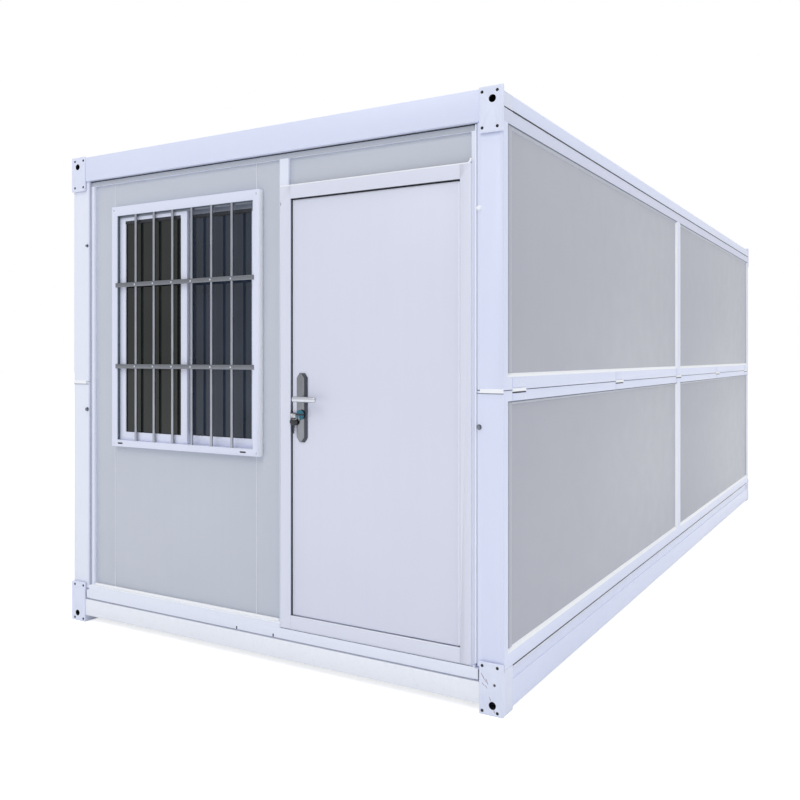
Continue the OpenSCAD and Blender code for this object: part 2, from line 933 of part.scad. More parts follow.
// A handle plate with round ends, bored for the spindle and the lock cylinder
module handle_plate(d) {
    straight = (handle_plate_h - handle_plate_w) / 2;
    difference() {
        union() {
            front_slab(
                [spindle_x - handle_plate_w / 2, spindle_x + handle_plate_w / 2],
                d,
                [handle_z - straight, handle_z + straight]
            );
            for (z = [handle_z - straight, handle_z + straight])
                front_rod(spindle_x, d, z, handle_plate_w);
        }
        front_rod(spindle_x, [d[0] - cut, d[1] + cut], spindle_z, spindle_d + 2 * running_gap);
        front_rod(spindle_x, [d[0] - cut, d[1] + cut], cylinder_z, cylinder_d);
    }
}

module handle_plates() {
    color(stainless) {
        handle_plate([outer_plate_d, leaf_setback]);
        handle_plate([leaf_back, inner_plate_d]);
    }
}

module lock_cylinder() {
    color("#8b8e94")
        front_rod(
            spindle_x,
            [outer_plate_d - cylinder_out, inner_plate_d + cylinder_out],
            cylinder_z,
            cylinder_d
        );
}

// The grip of a lever at a given depth: a bar with round ends
module lever_grip(d) {
    straight = lever_l - lever_d / 2;
    translate([spindle_x, depth(d), spindle_z]) {
        rotate([0, 90, 0]) cylinder(d = lever_d, h = straight);
        sphere(d = lever_d);
        translate([straight, 0, 0]) sphere(d = lever_d);
    }
}

module lever_handle() {
    outer_grip = outer_plate_d - lever_reach;
    inner_grip = inner_plate_d + lever_reach;
    color(stainless) {
        front_rod(spindle_x, [outer_grip, inner_grip], spindle_z, spindle_d);
        front_rod(spindle_x, [outer_grip, outer_plate_d - running_gap], spindle_z, lever_d);
        front_rod(spindle_x, [inner_plate_d + running_gap, inner_grip], spindle_z, lever_d);
        lever_grip(outer_grip);
        lever_grip(inner_grip);
    }
}

base_end_beam();  // base_beam_front
at_rear() base_end_beam();  // base_beam_rear
on_left() base_side_beam();  // base_beam_left
base_side_beam();  // base_beam_right
on_left() base_corner();  // base_corner_front_left
base_corner();  // base_corner_front_right
at_rear() on_left() base_corner();  // base_corner_rear_left
at_rear() base_corner();  // base_corner_rear_right
floor_joists();
floor_deck();
roof_end_beam();  // roof_beam_front
at_rear() roof_end_beam();  // roof_beam_rear
on_left() roof_side_beam();  // roof_beam_left
roof_side_beam();  // roof_beam_right
on_left() roof_corner();  // roof_corner_front_left
roof_corner();  // roof_corner_front_right
at_rear() on_left() roof_corner();  // roof_corner_rear_left
at_rear() roof_corner();  // roof_corner_rear_right
roof_panel();
on_left() lower_frame();  // lower_frame_left
lower_frame();  // lower_frame_right
on_left() upper_frame();  // upper_frame_left
upper_frame();  // upper_frame_right
on_left() lower_panels();  // lower_panels_left
lower_panels();  // lower_panels_right
on_left() upper_panels();  // upper_panels_left
upper_panels();  // upper_panels_right
on_left() fold_hinges();  // fold_hinges_left
fold_hinges();  // fold_hinges_right
rear_wall_frame();
rear_wall_panels();
rear_wall_hinges();
front_wall_frame();
front_panel_left();
front_panel_middle();
front_panel_right();
front_panel_transom();
hinge_pins();  // front_hinge_pins
hinge_knuckles();  // front_hinge_knuckles
window_frame();
window_sashes();
window_glass();
window_bars();
door_frame();
door_leaf();
handle_plates();
lock_cylinder();
lever_handle();
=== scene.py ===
"""Folding container house: the finished look of its steel, panels, window, door and fittings."""
import math
from functools import partial

import bmesh
import bpy
from mathutils import Matrix, Vector


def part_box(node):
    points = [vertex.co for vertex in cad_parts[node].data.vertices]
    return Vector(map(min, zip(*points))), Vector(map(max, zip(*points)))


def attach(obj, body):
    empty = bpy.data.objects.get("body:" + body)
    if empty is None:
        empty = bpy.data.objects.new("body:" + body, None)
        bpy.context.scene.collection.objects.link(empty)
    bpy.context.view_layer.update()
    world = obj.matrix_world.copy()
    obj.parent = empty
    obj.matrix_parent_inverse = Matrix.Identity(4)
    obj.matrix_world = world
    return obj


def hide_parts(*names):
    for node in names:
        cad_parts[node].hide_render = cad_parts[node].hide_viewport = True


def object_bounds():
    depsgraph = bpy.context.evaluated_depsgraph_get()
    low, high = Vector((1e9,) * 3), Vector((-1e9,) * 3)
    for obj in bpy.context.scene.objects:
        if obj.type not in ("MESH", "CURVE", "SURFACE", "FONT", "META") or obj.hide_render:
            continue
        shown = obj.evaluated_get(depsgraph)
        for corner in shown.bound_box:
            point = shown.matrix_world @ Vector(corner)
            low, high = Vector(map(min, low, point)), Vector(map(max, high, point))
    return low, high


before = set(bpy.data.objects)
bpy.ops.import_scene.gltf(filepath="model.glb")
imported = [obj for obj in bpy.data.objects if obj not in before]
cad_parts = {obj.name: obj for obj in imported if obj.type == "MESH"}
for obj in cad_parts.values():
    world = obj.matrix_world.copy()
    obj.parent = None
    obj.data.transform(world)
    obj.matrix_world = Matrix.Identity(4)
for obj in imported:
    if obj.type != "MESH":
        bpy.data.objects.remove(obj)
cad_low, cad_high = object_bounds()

MM = 0.001
# A face wider than this is a flat one
BROAD = 4 * MM
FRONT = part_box("base_corner_front_right")[0].y


# ---- Places taken from the construction ----

def depth(millimetres):
    """Y of a plane that many millimetres behind the front end of the house."""
    return FRONT + millimetres * MM


def span(level, first, last):
    """The range between two offsets from a level, in millimetres."""
    return level + first * MM, level + last * MM


def depths(first, last):
    """The range between two planes behind the front end."""
    return span(FRONT, first, last)


def around(middle, width):
    """The range of a width about its middle."""
    return middle - width / 2, middle + width / 2


class Place:
    """The box of a construction node, with its six limits by name."""

    def __init__(self, node):
        low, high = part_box(node)
        self.x0, self.y0, self.z0 = low
        self.x1, self.y1, self.z1 = high
        self.middle = (low + high) / 2


window = Place("window_frame")
bars = Place("window_bars")
door_frame = Place("door_frame")
leaf = Place("door_leaf")
plates = Place("handle_plates")
cylinder = Place("lock_cylinder")
lever = Place("lever_handle")
wall = Place("front_wall_frame")
left_panel = Place("front_panel_left")
middle_panel = Place("front_panel_middle")
roof_panel = Place("roof_panel")
upper_panels = Place("upper_panels_right")
lower_panels = Place("lower_panels_right")

# The side walls' seams, strips and hinges
SIDE_FACE = 1247 * MM
BASE_SEAM_Z = 175 * MM
FOLD_Z = 1264 * MM
ROOF_SEAM_Z = 2365 * MM
STILE_HALF_W = 60 * MM
STRIP_W = 16 * MM
FOLD_HINGE_COUNT = 5
FOLD_HINGE_L = 137 * MM
KNUCKLE_D = 18 * MM
# The front wall's frame, its fittings and its bolts
PLATE_T = 10 * MM
SILL_TOP_Z = 197 * MM
TRIM_W = 22 * MM
WEEP_X = (-104 * MM, 113 * MM)
# Where dark strips paint the shade under the posts' lip and beside the corner plates
POST_LIP_SHADOW_X = (1131 * MM, 1246 * MM)
POST_LIP_SHADOW_Z = (1250.6 * MM, 1253.4 * MM)
CORNER_SHADOW_Z = (174 * MM, 203 * MM)
BOLT_HOLE_X = (1160 * MM, 1225 * MM)
BOLT_HOLE_Z = (15 * MM, 190 * MM, 2290 * MM, 2430 * MM)
UPPER_BOLT_Z = 1981 * MM
LOWER_BOLT_Z = 1120 * MM
BOLT_IN = 108 * MM
# The window's members and the lay-out of its bars
WINDOW_SIDE = 39 * MM
WINDOW_HEAD = 48 * MM
WINDOW_SILL = 33 * MM
SASH_MEMBER = 42 * MM
BAR_D = 14 * MM
BAR_PITCH = 128 * MM
BAR_COUNT = 6
CROSS_BAR_T = 4 * MM
CROSS_BAR_H = 22 * MM
CROSS_BARS = (378 * MM, 793 * MM)
# The door's frame and furniture
DOOR_FACE = 58 * MM
STUD_OVERLAP = 34 * MM
STUD_W = 51 * MM
FOOT_NOTCH_Z = (197 * MM, 215 * MM)
HEAD_NOTCH_Z = (2078 * MM, 2089 * MM)
SEAL_T = 2.5 * MM
HANDLE_PLATE_T = 8 * MM
PLATE_CHAMFER = 15 * MM
LEVER_D = 18 * MM
GRIP_OVAL = 1.4
GRIP_HEEL = 8 * MM
# The ribs that join the roof's sheets
RIB_PITCH = 250 * MM
RIB_TOP = 24 * MM
RIB_FOOT = 44 * MM
RIB_RISE = 9 * MM

light_x0 = window.x0 + WINDOW_SIDE
light_x1 = window.x1 - WINDOW_SIDE
light_z0 = window.z0 + WINDOW_SILL
light_z1 = window.z1 - WINDOW_HEAD
light_x = (light_x0, light_x1)
pane_z0 = light_z0 + SASH_MEMBER
pane_z1 = light_z1 - SASH_MEMBER
drain_z = window.z0 + 17 * MM
jamb_x0 = door_frame.x0 + STUD_OVERLAP
head_rail_z = upper_panels.z1 + STRIP_W


# ---- Materials ----

def add_node(tree, kind, inputs=None, give=0, family="ShaderNode", **settings):
    """A new node with its settings. Its type is its family and its kind. inputs gives a socket a
    value, or another node's output. give is the output that is handed back, or None for the node."""
    node = tree.nodes.new(family + kind)
    for name, value in settings.items():
        setattr(node, name, value)
    for socket, value in (inputs or {}).items():
        if isinstance(value, bpy.types.NodeSocket):
            tree.links.new(value, node.inputs[socket])
        else:
            node.inputs[socket].default_value = value
    return node if give is None else node.outputs[give]


def wired(material, relief=None, **outputs):
    """The material, with outputs linked to its shader's sockets of those names. relief is the
    height of its bumps, how strongly they show, and how deep they are in millimetres."""
    tree = material.node_tree
    if relief:
        height, strength, deep = relief
        bumps = {"Height": height, "Strength": strength, "Distance": deep * MM}
        outputs["Normal"] = add_node(tree, "Bump", bumps)
    for socket, output in outputs.items():
        tree.links.new(output, tree.nodes["Principled BSDF"].inputs[socket.replace("_", " ")])
    return material


def linear(hex_colour):
    """The linear colour of an sRGB hex value."""
    shares = [int(hex_colour[i:i + 2], 16) / 255 for i in (1, 3, 5)]
    return [s / 12.92 if s <= 0.04045 else ((s + 0.055) / 1.055) ** 2.4 for s in shares] + [1.0]


def new_material(name, **sockets):
    """A material with one shader, whose constant sockets are set here, with the function that
    adds its nodes and the place of a point on the piece."""
    material = bpy.data.materials.new(name)
    material.use_nodes = True
    tree = material.node_tree
    for socket, value in sockets.items():
        tree.nodes["Principled BSDF"].inputs[socket.replace("_", " ")].default_value = value
    add = partial(add_node, tree)
    return material, add, add("TexCoord", give="Object")


# The part of a noise that most of its values are in
MIDDLE = {"From Min": 0.3, "From Max": 0.7}


def mottled(add, pattern, colour, shade, low=0.35, high=0.65):
    """A colour that turns to its shade where the pattern is strong."""
    share = add("MapRange", {"Value": pattern, "From Min": low, "From Max": high})
    return add("Mix", {0: share, 6: linear(colour), 7: linear(shade)}, 2, data_type="RGBA")


def soiled(add, place, paint, dirt, rise, grit, specks):
    """Paint with specks of dirt that settle near the ground. rise holds the heights of the
    first dirt and of the most. specks holds the range of the grit that shows and its cover."""
    height = add("SeparateXYZ", {"Vector": place}, "Z")
    low = add("MapRange", {"Value": height, "From Min": rise[0], "From Max": rise[1]})
    grains = add("TexNoise", {"Vector": place, "Roughness": 0.7, **grit})
    shown = {"Value": grains, "From Min": specks[0], "From Max": specks[1], "To Max": specks[2]}
    spots = add("MapRange", shown)
    settled = add("Math", {0: low, 1: spots}, operation="MULTIPLY")
    return add("Mix", {0: settled, 6: paint, 7: linear(dirt)}, 2, data_type="RGBA")


def coated_steel(name, colour, shade, roughness, grain_mm, dust="#b3ada0"):
    """Steel with a factory coat of paint: an even, slightly soft gloss, a faint orange peel,
    clouds that are almost too weak to see, rain streaks, and dust near the ground."""
    material, add, place = new_material(name, Metallic=0.0, IOR=1.5)
    clouds = add("TexNoise", {"Vector": place, "Scale": 2.2, "Detail": 4.0})
    upright = add("Mapping", {"Vector": place, "Scale": (34, 34, 1.4)})
    streaks = add("TexNoise", {"Vector": upright, "Scale": 1.0})
    both = add("Mix", {0: 0.3, 2: clouds, 3: streaks})
    paint = mottled(add, both, colour, shade, 0.36, 0.64)
    grit = {"Scale": 60, "Detail": 6}
    dusty = soiled(add, place, paint, dust, (0.36, 0.0), grit, (0.54, 0.8, 0.22))
    wiped = add("TexNoise", {"Vector": place, "Scale": 9, "Detail": 3})
    wiping = {"Value": wiped, **MIDDLE, "To Min": roughness * 0.93, "To Max": roughness * 1.08}
    gloss = add("MapRange", wiping)
    peel = add("TexNoise", {"Vector": place, "Scale": 1000 / grain_mm})
    return wired(material, (peel, 0.12, 0.25), Base_Color=dusty, Roughness=gloss)


def worn_steel(name, colour, shade, rust, scratches, dent_shade):
    """The same paint, scraped where a fork or a hook has hit the fitting: a few short brown
    scratches down to the primer, a small dark spot painted as the shade of a dent, and grime
    lower down. A scratch is given by its middle, its slope and half its length, and is drawn
    2 mm wide, so that it shows."""
    material, add, place = new_material(name, Metallic=0.0, IOR=1.5)
    clouds = add("TexNoise", {"Vector": place, "Scale": 12, "Detail": 4})
    paint = mottled(add, clouds, colour, shade, 0.36, 0.64)
    tremor = add("TexNoise", {"Vector": place, "Scale": 130}, "Color")
    shake = 4 * MM
    shaking = {0: tremor, 1: (shake, shake, shake), 2: place}
    shaken = add("VectorMath", shaking, operation="MULTIPLY_ADD")
    marks = 0.0
    for x, z, slope, reach in scratches:
        middle = (x + shake / 2, 0, z + shake / 2)
        offset = add("VectorMath", {0: shaken, 1: middle}, operation="SUBTRACT")
        levelled = add("Mapping", {"Vector": offset, "Rotation": (0, slope, 0)})
        size = add("VectorMath", {0: levelled}, operation="ABSOLUTE")
        axes = add("SeparateXYZ", {"Vector": size}, None).outputs
        across = add("MapRange", {"Value": axes["Z"], "From Min": 1.4 * MM, "From Max": 0.5 * MM})
        along = add("MapRange", {"Value": axes["X"], "From Min": reach, "From Max": reach * 0.6})
        scratch = add("Math", {0: across, 1: along}, operation="MULTIPLY")
        marks = add("Math", {0: marks, 1: scratch}, operation="MAXIMUM")
    marked = add("Mix", {0: marks, 6: paint, 7: linear(rust)}, 2, data_type="RGBA")
    # Painted shade of a dent: the spot is darkened, with no bump under it.
    offset = add("VectorMath", {0: shaken, 1: dent_shade}, operation="SUBTRACT")
    distance = add("VectorMath", {0: offset}, "Value", operation="LENGTH")
    in_dent_shade = add("MapRange", {"Value": distance, "From Min": 7 * MM, "From Max": 4 * MM})
    dent_shaded = add("Mix", {0: in_dent_shade, 6: marked, 7: linear("#2c2b33")}, 2, data_type="RGBA")
    grit = {"Scale": 170, "Detail": 5}
    grimy = soiled(add, place, dent_shaded, "#6d6560", (0.14, 0.01), grit, (0.6, 0.7, 0.5))
    gloss = add("MapRange", {"Value": marks, "To Min": 0.4, "To Max": 0.85})
    raised = add("Math", {0: 1.0, 1: marks}, operation="SUBTRACT")
    return wired(material, (raised, 0.5, 0.3), Base_Color=grimy, Roughness=gloss)


def brushed_metal(name, colour, shade, roughness, grain):
    """Stainless steel with the fine lines of a brush along the piece, which pull its
    highlights into streaks. The lines are drawn about 1 mm apart, so that they show."""
    material, add, place = new_material(name, Metallic=1.0)
    along = add("Mapping", {"Vector": place, "Scale": grain})
    lines = add("TexNoise", {"Vector": along, "Scale": 1, "Detail": 3, "Roughness": 0.6})
    tone = mottled(add, lines, colour, shade)
    smears = add("TexNoise", {"Vector": place, "Scale": 40, "Detail": 3})
    gloss = add("Math", {0: smears, 1: 0.12, 2: roughness - 0.06}, operation="MULTIPLY_ADD")
    return wired(material, (lines, 0.18, 0.1), Base_Color=tone, Roughness=gloss)


def moulded(name, colour, shade, roughness, grain_mm, strength=0.25):
    """Moulded plastic, rubber or sealant: one colour with small clouds and a fine skin."""
    material, add, place = new_material(name, Metallic=0.0, IOR=1.46)
    clouds = add("TexNoise", {"Vector": place, "Scale": 90, "Detail": 3})
    tone = mottled(add, clouds, colour, shade)
    skin = add("TexNoise", {"Vector": place, "Scale": 1000 / grain_mm})
    gloss = add("MapRange", {"Value": skin, **MIDDLE, "To Min": roughness * 0.9, "To Max": roughness * 1.1})
    return wired(material, (skin, strength, 0.2), Base_Color=tone, Roughness=gloss)


def tinted_glass(name, meeting_x):
    """Float glass with a grey tint: it shows its surroundings as a mirror does, darker, and
    lets little of the dark room through. The pane on one side is given a browner tint, and
    faint rain marks dull both in places."""
    material, add, place = new_material(
        name, Metallic=0.0, IOR=1.5, Transmission_Weight=0.3, Specular_IOR_Level=0.22
    )
    clouds = add("TexNoise", {"Vector": place, "Scale": 3})
    brown = mottled(add, clouds, "#1c2120", "#252a28")
    blue = mottled(add, clouds, "#2b3545", "#333e50")
    across = add("SeparateXYZ", {"Vector": place}, "X")
    second = add("Math", {0: across, 1: meeting_x}, operation="GREATER_THAN")
    tint = add("Mix", {0: second, 6: brown, 7: blue}, 2, data_type="RGBA")
    upright = add("Mapping", {"Vector": place, "Scale": (60, 60, 8)})
    rain = add("TexNoise", {"Vector": upright, "Scale": 1, "Detail": 4})
    dulling = {"Value": rain, "From Min": 0.5, "From Max": 0.8, "To Min": 0.015, "To Max": 0.09}
    gloss = add("MapRange", dulling)
    return wired(material, Base_Color=tint, Roughness=gloss)


def zinc_spangle(name):
    """Hot-dip galvanised steel: grey crystals about 12 mm wide, some lighter than others."""
    material, add, place = new_material(name, Metallic=1.0)
    crystals = add("TexVoronoi", {"Vector": place, "Scale": 80}, "Color")
    tone = add("SeparateColor", {"Color": crystals}, "Red")
    zinc = mottled(add, tone, "#9ba0a4", "#b9bec1", 0, 1)
    gloss = add("MapRange", {"Value": tone, "To Min": 0.38, "To Max": 0.56})
    return wired(material, Base_Color=zinc, Roughness=gloss)


def fibre_board(name):
    """Cement fibre board: a warm grey with pressed fibres about 3 mm long and a few flecks."""
    material, add, place = new_material(name, Metallic=0.0, IOR=1.5)
    along = add("Mapping", {"Vector": place, "Scale": (330, 120, 330)})
    fibres = add("TexNoise", {"Vector": along, "Scale": 1, "Detail": 4, "Roughness": 0.65})
    clouds = add("TexNoise", {"Vector": place, "Scale": 5, "Detail": 3})
    both = add("Mix", {0: 0.4, 2: fibres, 3: clouds})
    tone = mottled(add, both, "#a79a86", "#8d806d", 0.36, 0.64)
    gloss = add("MapRange", {"Value": fibres, **MIDDLE, "To Min": 0.7, "To Max": 0.9})
    return wired(material, (fibres, 0.4, 0.4), Base_Color=tone, Roughness=gloss)


enamel = coated_steel("cold_white_enamel_on_steel", "#dde4fb", "#dbe2fa", 0.38, 2.2)
# A brighter white: painted light on the end beams near the floor, on the near ends of the side panels'
# strips and on the filler in the gap beside the door frame.
base_enamel_painted_light = coated_steel("white_enamel_with_painted_light_on_the_end_beams", "#eff3fc", "#edf1fb", 0.38, 2.2)
# A brighter white: painted light on the front wall's frame, which sits back behind the posts, and on the
# left side's frames.
end_wall_enamel_painted_light = coated_steel("white_enamel_with_painted_light_on_the_end_wall", "#e8edfd", "#e6ebfb", 0.38, 2.2)
fitting_enamel = coated_steel("thick_white_enamel_on_castings", "#e0e6fa", "#dee4f9", 0.42, 3.0)
SCRATCHES = (
    (1.161, 0.152, -1.05, 0.013), (1.169, 0.141, -0.95, 0.019), (1.181, 0.131, -1.15, 0.014),
    (1.165, 0.118, -0.85, 0.009), (1.178, 0.110, -1.0, 0.008), (1.194, 0.066, -1.2, 0.010),
    (1.212, 0.021, -1.3, 0.007),
)
worn_enamel = worn_steel(
    "knocked_white_enamel", "#e0e6f9", "#dae0f6", "#7d5560", SCRATCHES, (1.215, FRONT + 0.003, 0.124)
)
side_sheet = coated_steel("grey_coated_sheet_of_the_side_panels", "#b1b4bf", "#afb2bd", 0.46, 1.6)
end_sheet = coated_steel("light_grey_coated_sheet_of_the_end_panels", "#c3c9d5", "#c1c7d3", 0.44, 1.6)
roof_sheet = coated_steel("coated_roof_sheet", "#d3d7df", "#c6cad2", 0.5, 2.0, dust="#b9b4a8")
# A duller white that paints the shade of the roof's edge on the side frames' top rail.
rail_enamel_painted_shade = coated_steel("white_enamel_with_painted_shade_under_the_roof", "#d1d6ec", "#cfd4eb", 0.42, 2.2)
window_enamel = coated_steel("powder_coated_aluminium", "#dfe4f8", "#dde2f6", 0.34, 1.2)
door_enamel = coated_steel("door_leaf_paint", "#dadeef", "#d8dcee", 0.34, 1.8)
door_frame_enamel = coated_steel("door_frame_paint", "#dde1f1", "#dbdff0", 0.36, 1.8)
# A white cover strip. Its bright white is also a painted highlight on up-facing strips and ledges, the
# window frame's sides, the hinge barrels, the door leaf's edge, the door sill and the post lips.
white_strip_and_painted_highlight = coated_steel("white_cover_strip_and_painted_highlight", "#f8fbff", "#f4f8ff", 0.3, 3.0)
# A grey that paints the shade under the roof beam on the front wall's top track, and under the strips over
# the side panels.
grey_track_painted_shade = coated_steel("grey_track_with_painted_shade", "#b4bac6", "#b0b6c2", 0.44, 2.0)
# A darker grey that paints the shade under the window's head, on the rear sash's top rail and on the track
# lip.
dark_track_painted_shade = coated_steel("dark_grey_track_with_painted_shade", "#868d9c", "#7e8594", 0.44, 2.0)
bar_steel = brushed_metal("brushed_bar_steel", "#a3a7b0", "#878b95", 0.3, (900, 900, 14))
flat_steel = brushed_metal("brushed_flat_steel", "#7a7d84", "#686b72", 0.36, (14, 900, 900))
handle_steel = brushed_metal("satin_handle_steel", "#84868c", "#76787e", 0.32, (900, 900, 30))
# Dark steel: on the handle plate's sloped edge it paints a dark reflection; on the key blade it is the
# blade's own steel.
dark_steel_and_painted_reflection = brushed_metal("dark_steel_with_painted_reflection", "#4a4c55", "#3f4149", 0.4, (900, 900, 30))
lever_steel = brushed_metal("polished_lever_steel", "#c2c5cd", "#b4b7bf", 0.28, (30, 900, 900))
nickel = brushed_metal("nickel_plated_brass", "#a9a9a6", "#96968f", 0.26, (500, 500, 500))
zinc_bolts = brushed_metal("bright_zinc_plate", "#c6cad4", "#b0b5c0", 0.34, (400, 400, 400))
dull_bolts = brushed_metal("dull_zinc_plate", "#7d818b", "#6b6f79", 0.5, (400, 400, 400))
# Seals in the base and fold seams; their dark slate also paints the shade in the seams.
seam_rubber_painted_shade = moulded("slate_rubber_with_painted_shade", "#3d4255", "#363b4d", 0.62, 1.0)
rubber = moulded("black_rubber_seal", "#1d2027", "#262a33", 0.62, 1.0)
# A mid grey that paints thin lines of shade over the side panels and under the posts' lip.
grey_rubber_painted_shade = moulded("grey_rubber_with_painted_shade", "#6d7488", "#646b7f", 0.62, 1.0)
pale_seal = moulded("pale_grey_rubber_seal", "#b9bfd2", "#b0b6c9", 0.6, 1.0)
sealant = moulded("white_silicone_sealant", "#fbfcff", "#f6f8fd", 0.3, 4.0, strength=0.4)
joint_filler = moulded("light_panel_joint_filler", "#dde1ea", "#d6dbe5", 0.45, 3.0)
# Near black that paints the shade inside the fittings' hollows and holes and in the window's drain slots.
painted_shade_in_hollows = moulded("painted_shade_in_the_hollows", "#1b1c20", "#24262b", 0.7, 2.0)
reveal_seal = moulded("grey_brush_seal", "#5c6b76", "#515f6a", 0.8, 0.8)
fob_plastic = moulded("teal_key_fob_plastic", "#1f6f86", "#17586e", 0.34, 2.0)
tag_plastic = moulded("white_tag_plastic", "#e6e9ee", "#d6dae1", 0.4, 2.0)
key_plastic = moulded("black_key_head_plastic", "#17191f", "#202430", 0.36, 2.0)
glass = tinted_glass("grey_tinted_float_glass", (light_x0 + light_x1) / 2)
galvanised = zinc_spangle("galvanised_steel")
board = fibre_board("cement_fibre_board")


# ---- Making and finishing meshes ----

def shade(mesh):
    """Smooth shading on the narrow faces of curves and eased edges, flat on the broad ones and
    on those that lie square to the house."""
    for face in mesh.polygons:
        longest = max((mesh.vertices[a].co - mesh.vertices[b].co).length for a, b in face.edge_keys)
        square = max(abs(share) for share in face.normal) > 0.999
        face.use_smooth = not square and face.area < BROAD * longest
    mesh.set_sharp_from_angle(angle=math.radians(35))


def linked(name, data):
    """A new object in the scene."""
    holder = bpy.data.objects.new(name, data)
    bpy.context.scene.collection.objects.link(holder)
    return holder


def keep(name, mesh, body, slot, *stands_for):
    """Links a mesh as a finished piece that rides on a body."""
    shade(mesh)
    piece = linked(name, mesh)
    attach(piece, body)
    if stands_for:
        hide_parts(*stands_for)
    return piece


def dress(mesh, *materials):
    """Gives a mesh its materials. All its faces have the first one."""
    mesh.materials.clear()
    for material in materials:
        mesh.materials.append(material)
    return mesh


def mesh_of(shape, name="shape", materials=()):
    """The plain mesh of a shape that has been built up, with its materials."""
    mesh = dress(bpy.data.meshes.new(name), *materials)
    shape.to_mesh(mesh)
    shape.free()
    return mesh


def applied(mesh, kind, **settings):
    """The mesh after a modifier."""
    holder = linked("holder", mesh)
    modifier = holder.modifiers.new(kind.title(), kind)
    for name, value in settings.items():
        setattr(modifier, name, value)
    graph = bpy.context.evaluated_depsgraph_get()
    finished = bpy.data.meshes.new_from_object(
        holder.evaluated_get(graph), preserve_all_data_layers=True, depsgraph=graph
    )
    bpy.data.objects.remove(holder)
    return finished


def eased(mesh, width, angle=24):
    """The mesh with its sharp edges rounded, kept inside its first box."""
    axes = list(zip(*[vertex.co[:] for vertex in mesh.vertices]))
    limits = [(min(axis), max(axis)) for axis in axes]
    rounded = applied(
        mesh, "BEVEL", width=width, segments=2, limit_method="ANGLE", angle_limit=math.radians(angle),
        use_clamp_overlap=False, miter_outer="MITER_SHARP",
    )
    for vertex in rounded.vertices:
        vertex.co = [min(max(place, low), high) for place, (low, high) in zip(vertex.co, limits)]
    return rounded


def node_mesh(node):
    """A merged copy of a construction node, with its flat faces whole."""
    shape = bmesh.new()
    shape.from_mesh(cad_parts[node].data)
    bmesh.ops.remove_doubles(shape, verts=shape.verts, dist=2e-5)
    bmesh.ops.dissolve_limit(
        shape, angle_limit=math.radians(0.5), verts=shape.verts, edges=shape.edges, delimit={"NORMAL"}
    )
    return mesh_of(shape, node)


def box_mesh(*boxes):
    """One mesh of boxes, each given as its ranges along X, Y and Z."""
    shape = bmesh.new()
    for (x0, x1), (y0, y1), (z0, z1) in boxes:
        placing = Matrix.Translation(((x0 + x1) / 2, (y0 + y1) / 2, (z0 + z1) / 2))
        placing @= Matrix.Diagonal((x1 - x0, y1 - y0, z1 - z0, 1))
        bmesh.ops.create_cube(shape, size=1, matrix=placing)
    return mesh_of(shape)


def soft_boxes(material, width, *boxes):
    """Boxes of one material, with edges rounded by a width in millimetres."""
    return dress(eased(box_mesh(*boxes), width * MM), material)


def cut(mesh, cutter):
    """The mesh with the cutter taken out of it."""
    tool = linked("cutter", cutter)
    result = applied(mesh, "BOOLEAN", operation="DIFFERENCE", object=tool, solver="EXACT")
    bpy.data.objects.remove(tool)
    return result


def skinned(rings, placing=Matrix()):
    """A closed solid through rings of points, each joined to the next. A ring of one point is
    a tip."""
    shape = bmesh.new()
    loops = [[shape.verts.new(point) for point in ring] for ring in rings]
    count = max(len(loop) for loop in loops)
    for low, high in zip(loops, loops[1:]):
        for i in range(count):
            j = (i + 1) % count
            corners = []
            for loop, place in ((low, i), (low, j), (high, j), (high, i)):
                vertex = loop[place % len(loop)]
                if vertex not in corners:
                    corners.append(vertex)
            if len(corners) > 2:
                shape.faces.new(corners)
    for end in (loops[0], loops[-1]):
        if len(end) > 1:
            shape.faces.new(end)
    bmesh.ops.recalc_face_normals(shape, faces=shape.faces)
    bmesh.ops.transform(shape, matrix=placing, verts=shape.verts)
    return mesh_of(shape)


def turned(profile, axis_point, direction, steps=32):
    """A closed solid of revolution. profile gives (distance along the axis, radius)."""
    turns = [2 * math.pi * i / steps for i in range(steps)]
    rings = [
        [(radius * math.cos(a), radius * math.sin(a), along) for a in (turns if radius else [0])]
        for along, radius in profile
    ]
    placing = Vector(direction).to_track_quat("Z", "Y").to_matrix().to_4x4()
    placing.translation = axis_point
    return skinned(rings, placing)


def rod_profile(length, radius, drop=1 * MM, run=1 * MM):
    """The profile of a rod whose two ends slope over a small drop and run."""
    return [
        (0, 0), (0, radius - drop), (run, radius),
        (length - run, radius), (length, radius - drop), (length, 0),
    ]


def prism(outline, y_range):
    """A solid between two depths, from an outline of (x, z) points in order."""
    return skinned([[(x, y, z) for x, z in outline] for y in y_range])


def joined(*meshes):
    """The meshes as one, with their materials kept in order."""
    shape = bmesh.new()
    materials = []
    for mesh in meshes:
        start = len(shape.faces)
        shape.from_mesh(mesh)
        shape.faces.ensure_lookup_table()
        places = []
        for material in mesh.materials:
            if material not in materials:
                materials.append(material)
            places.append(materials.index(material))
        for face in shape.faces[start:]:
            if places:
                face.material_index = places[min(face.material_index, len(places) - 1)]
    return mesh_of(shape, "joined", materials)


def mirrored(mesh):
    """A copy of the mesh for the other end of the house, with its faces still outwards."""
    shape = bmesh.new()
    shape.from_mesh(mesh)
    bmesh.ops.scale(shape, vec=(1, -1, 1), verts=shape.verts)
    bmesh.ops.reverse_faces(shape, faces=shape.faces)
    return mesh_of(shape, "mirrored", mesh.materials)


# ---- Growing repeated shapes and beads with geometry trees ----

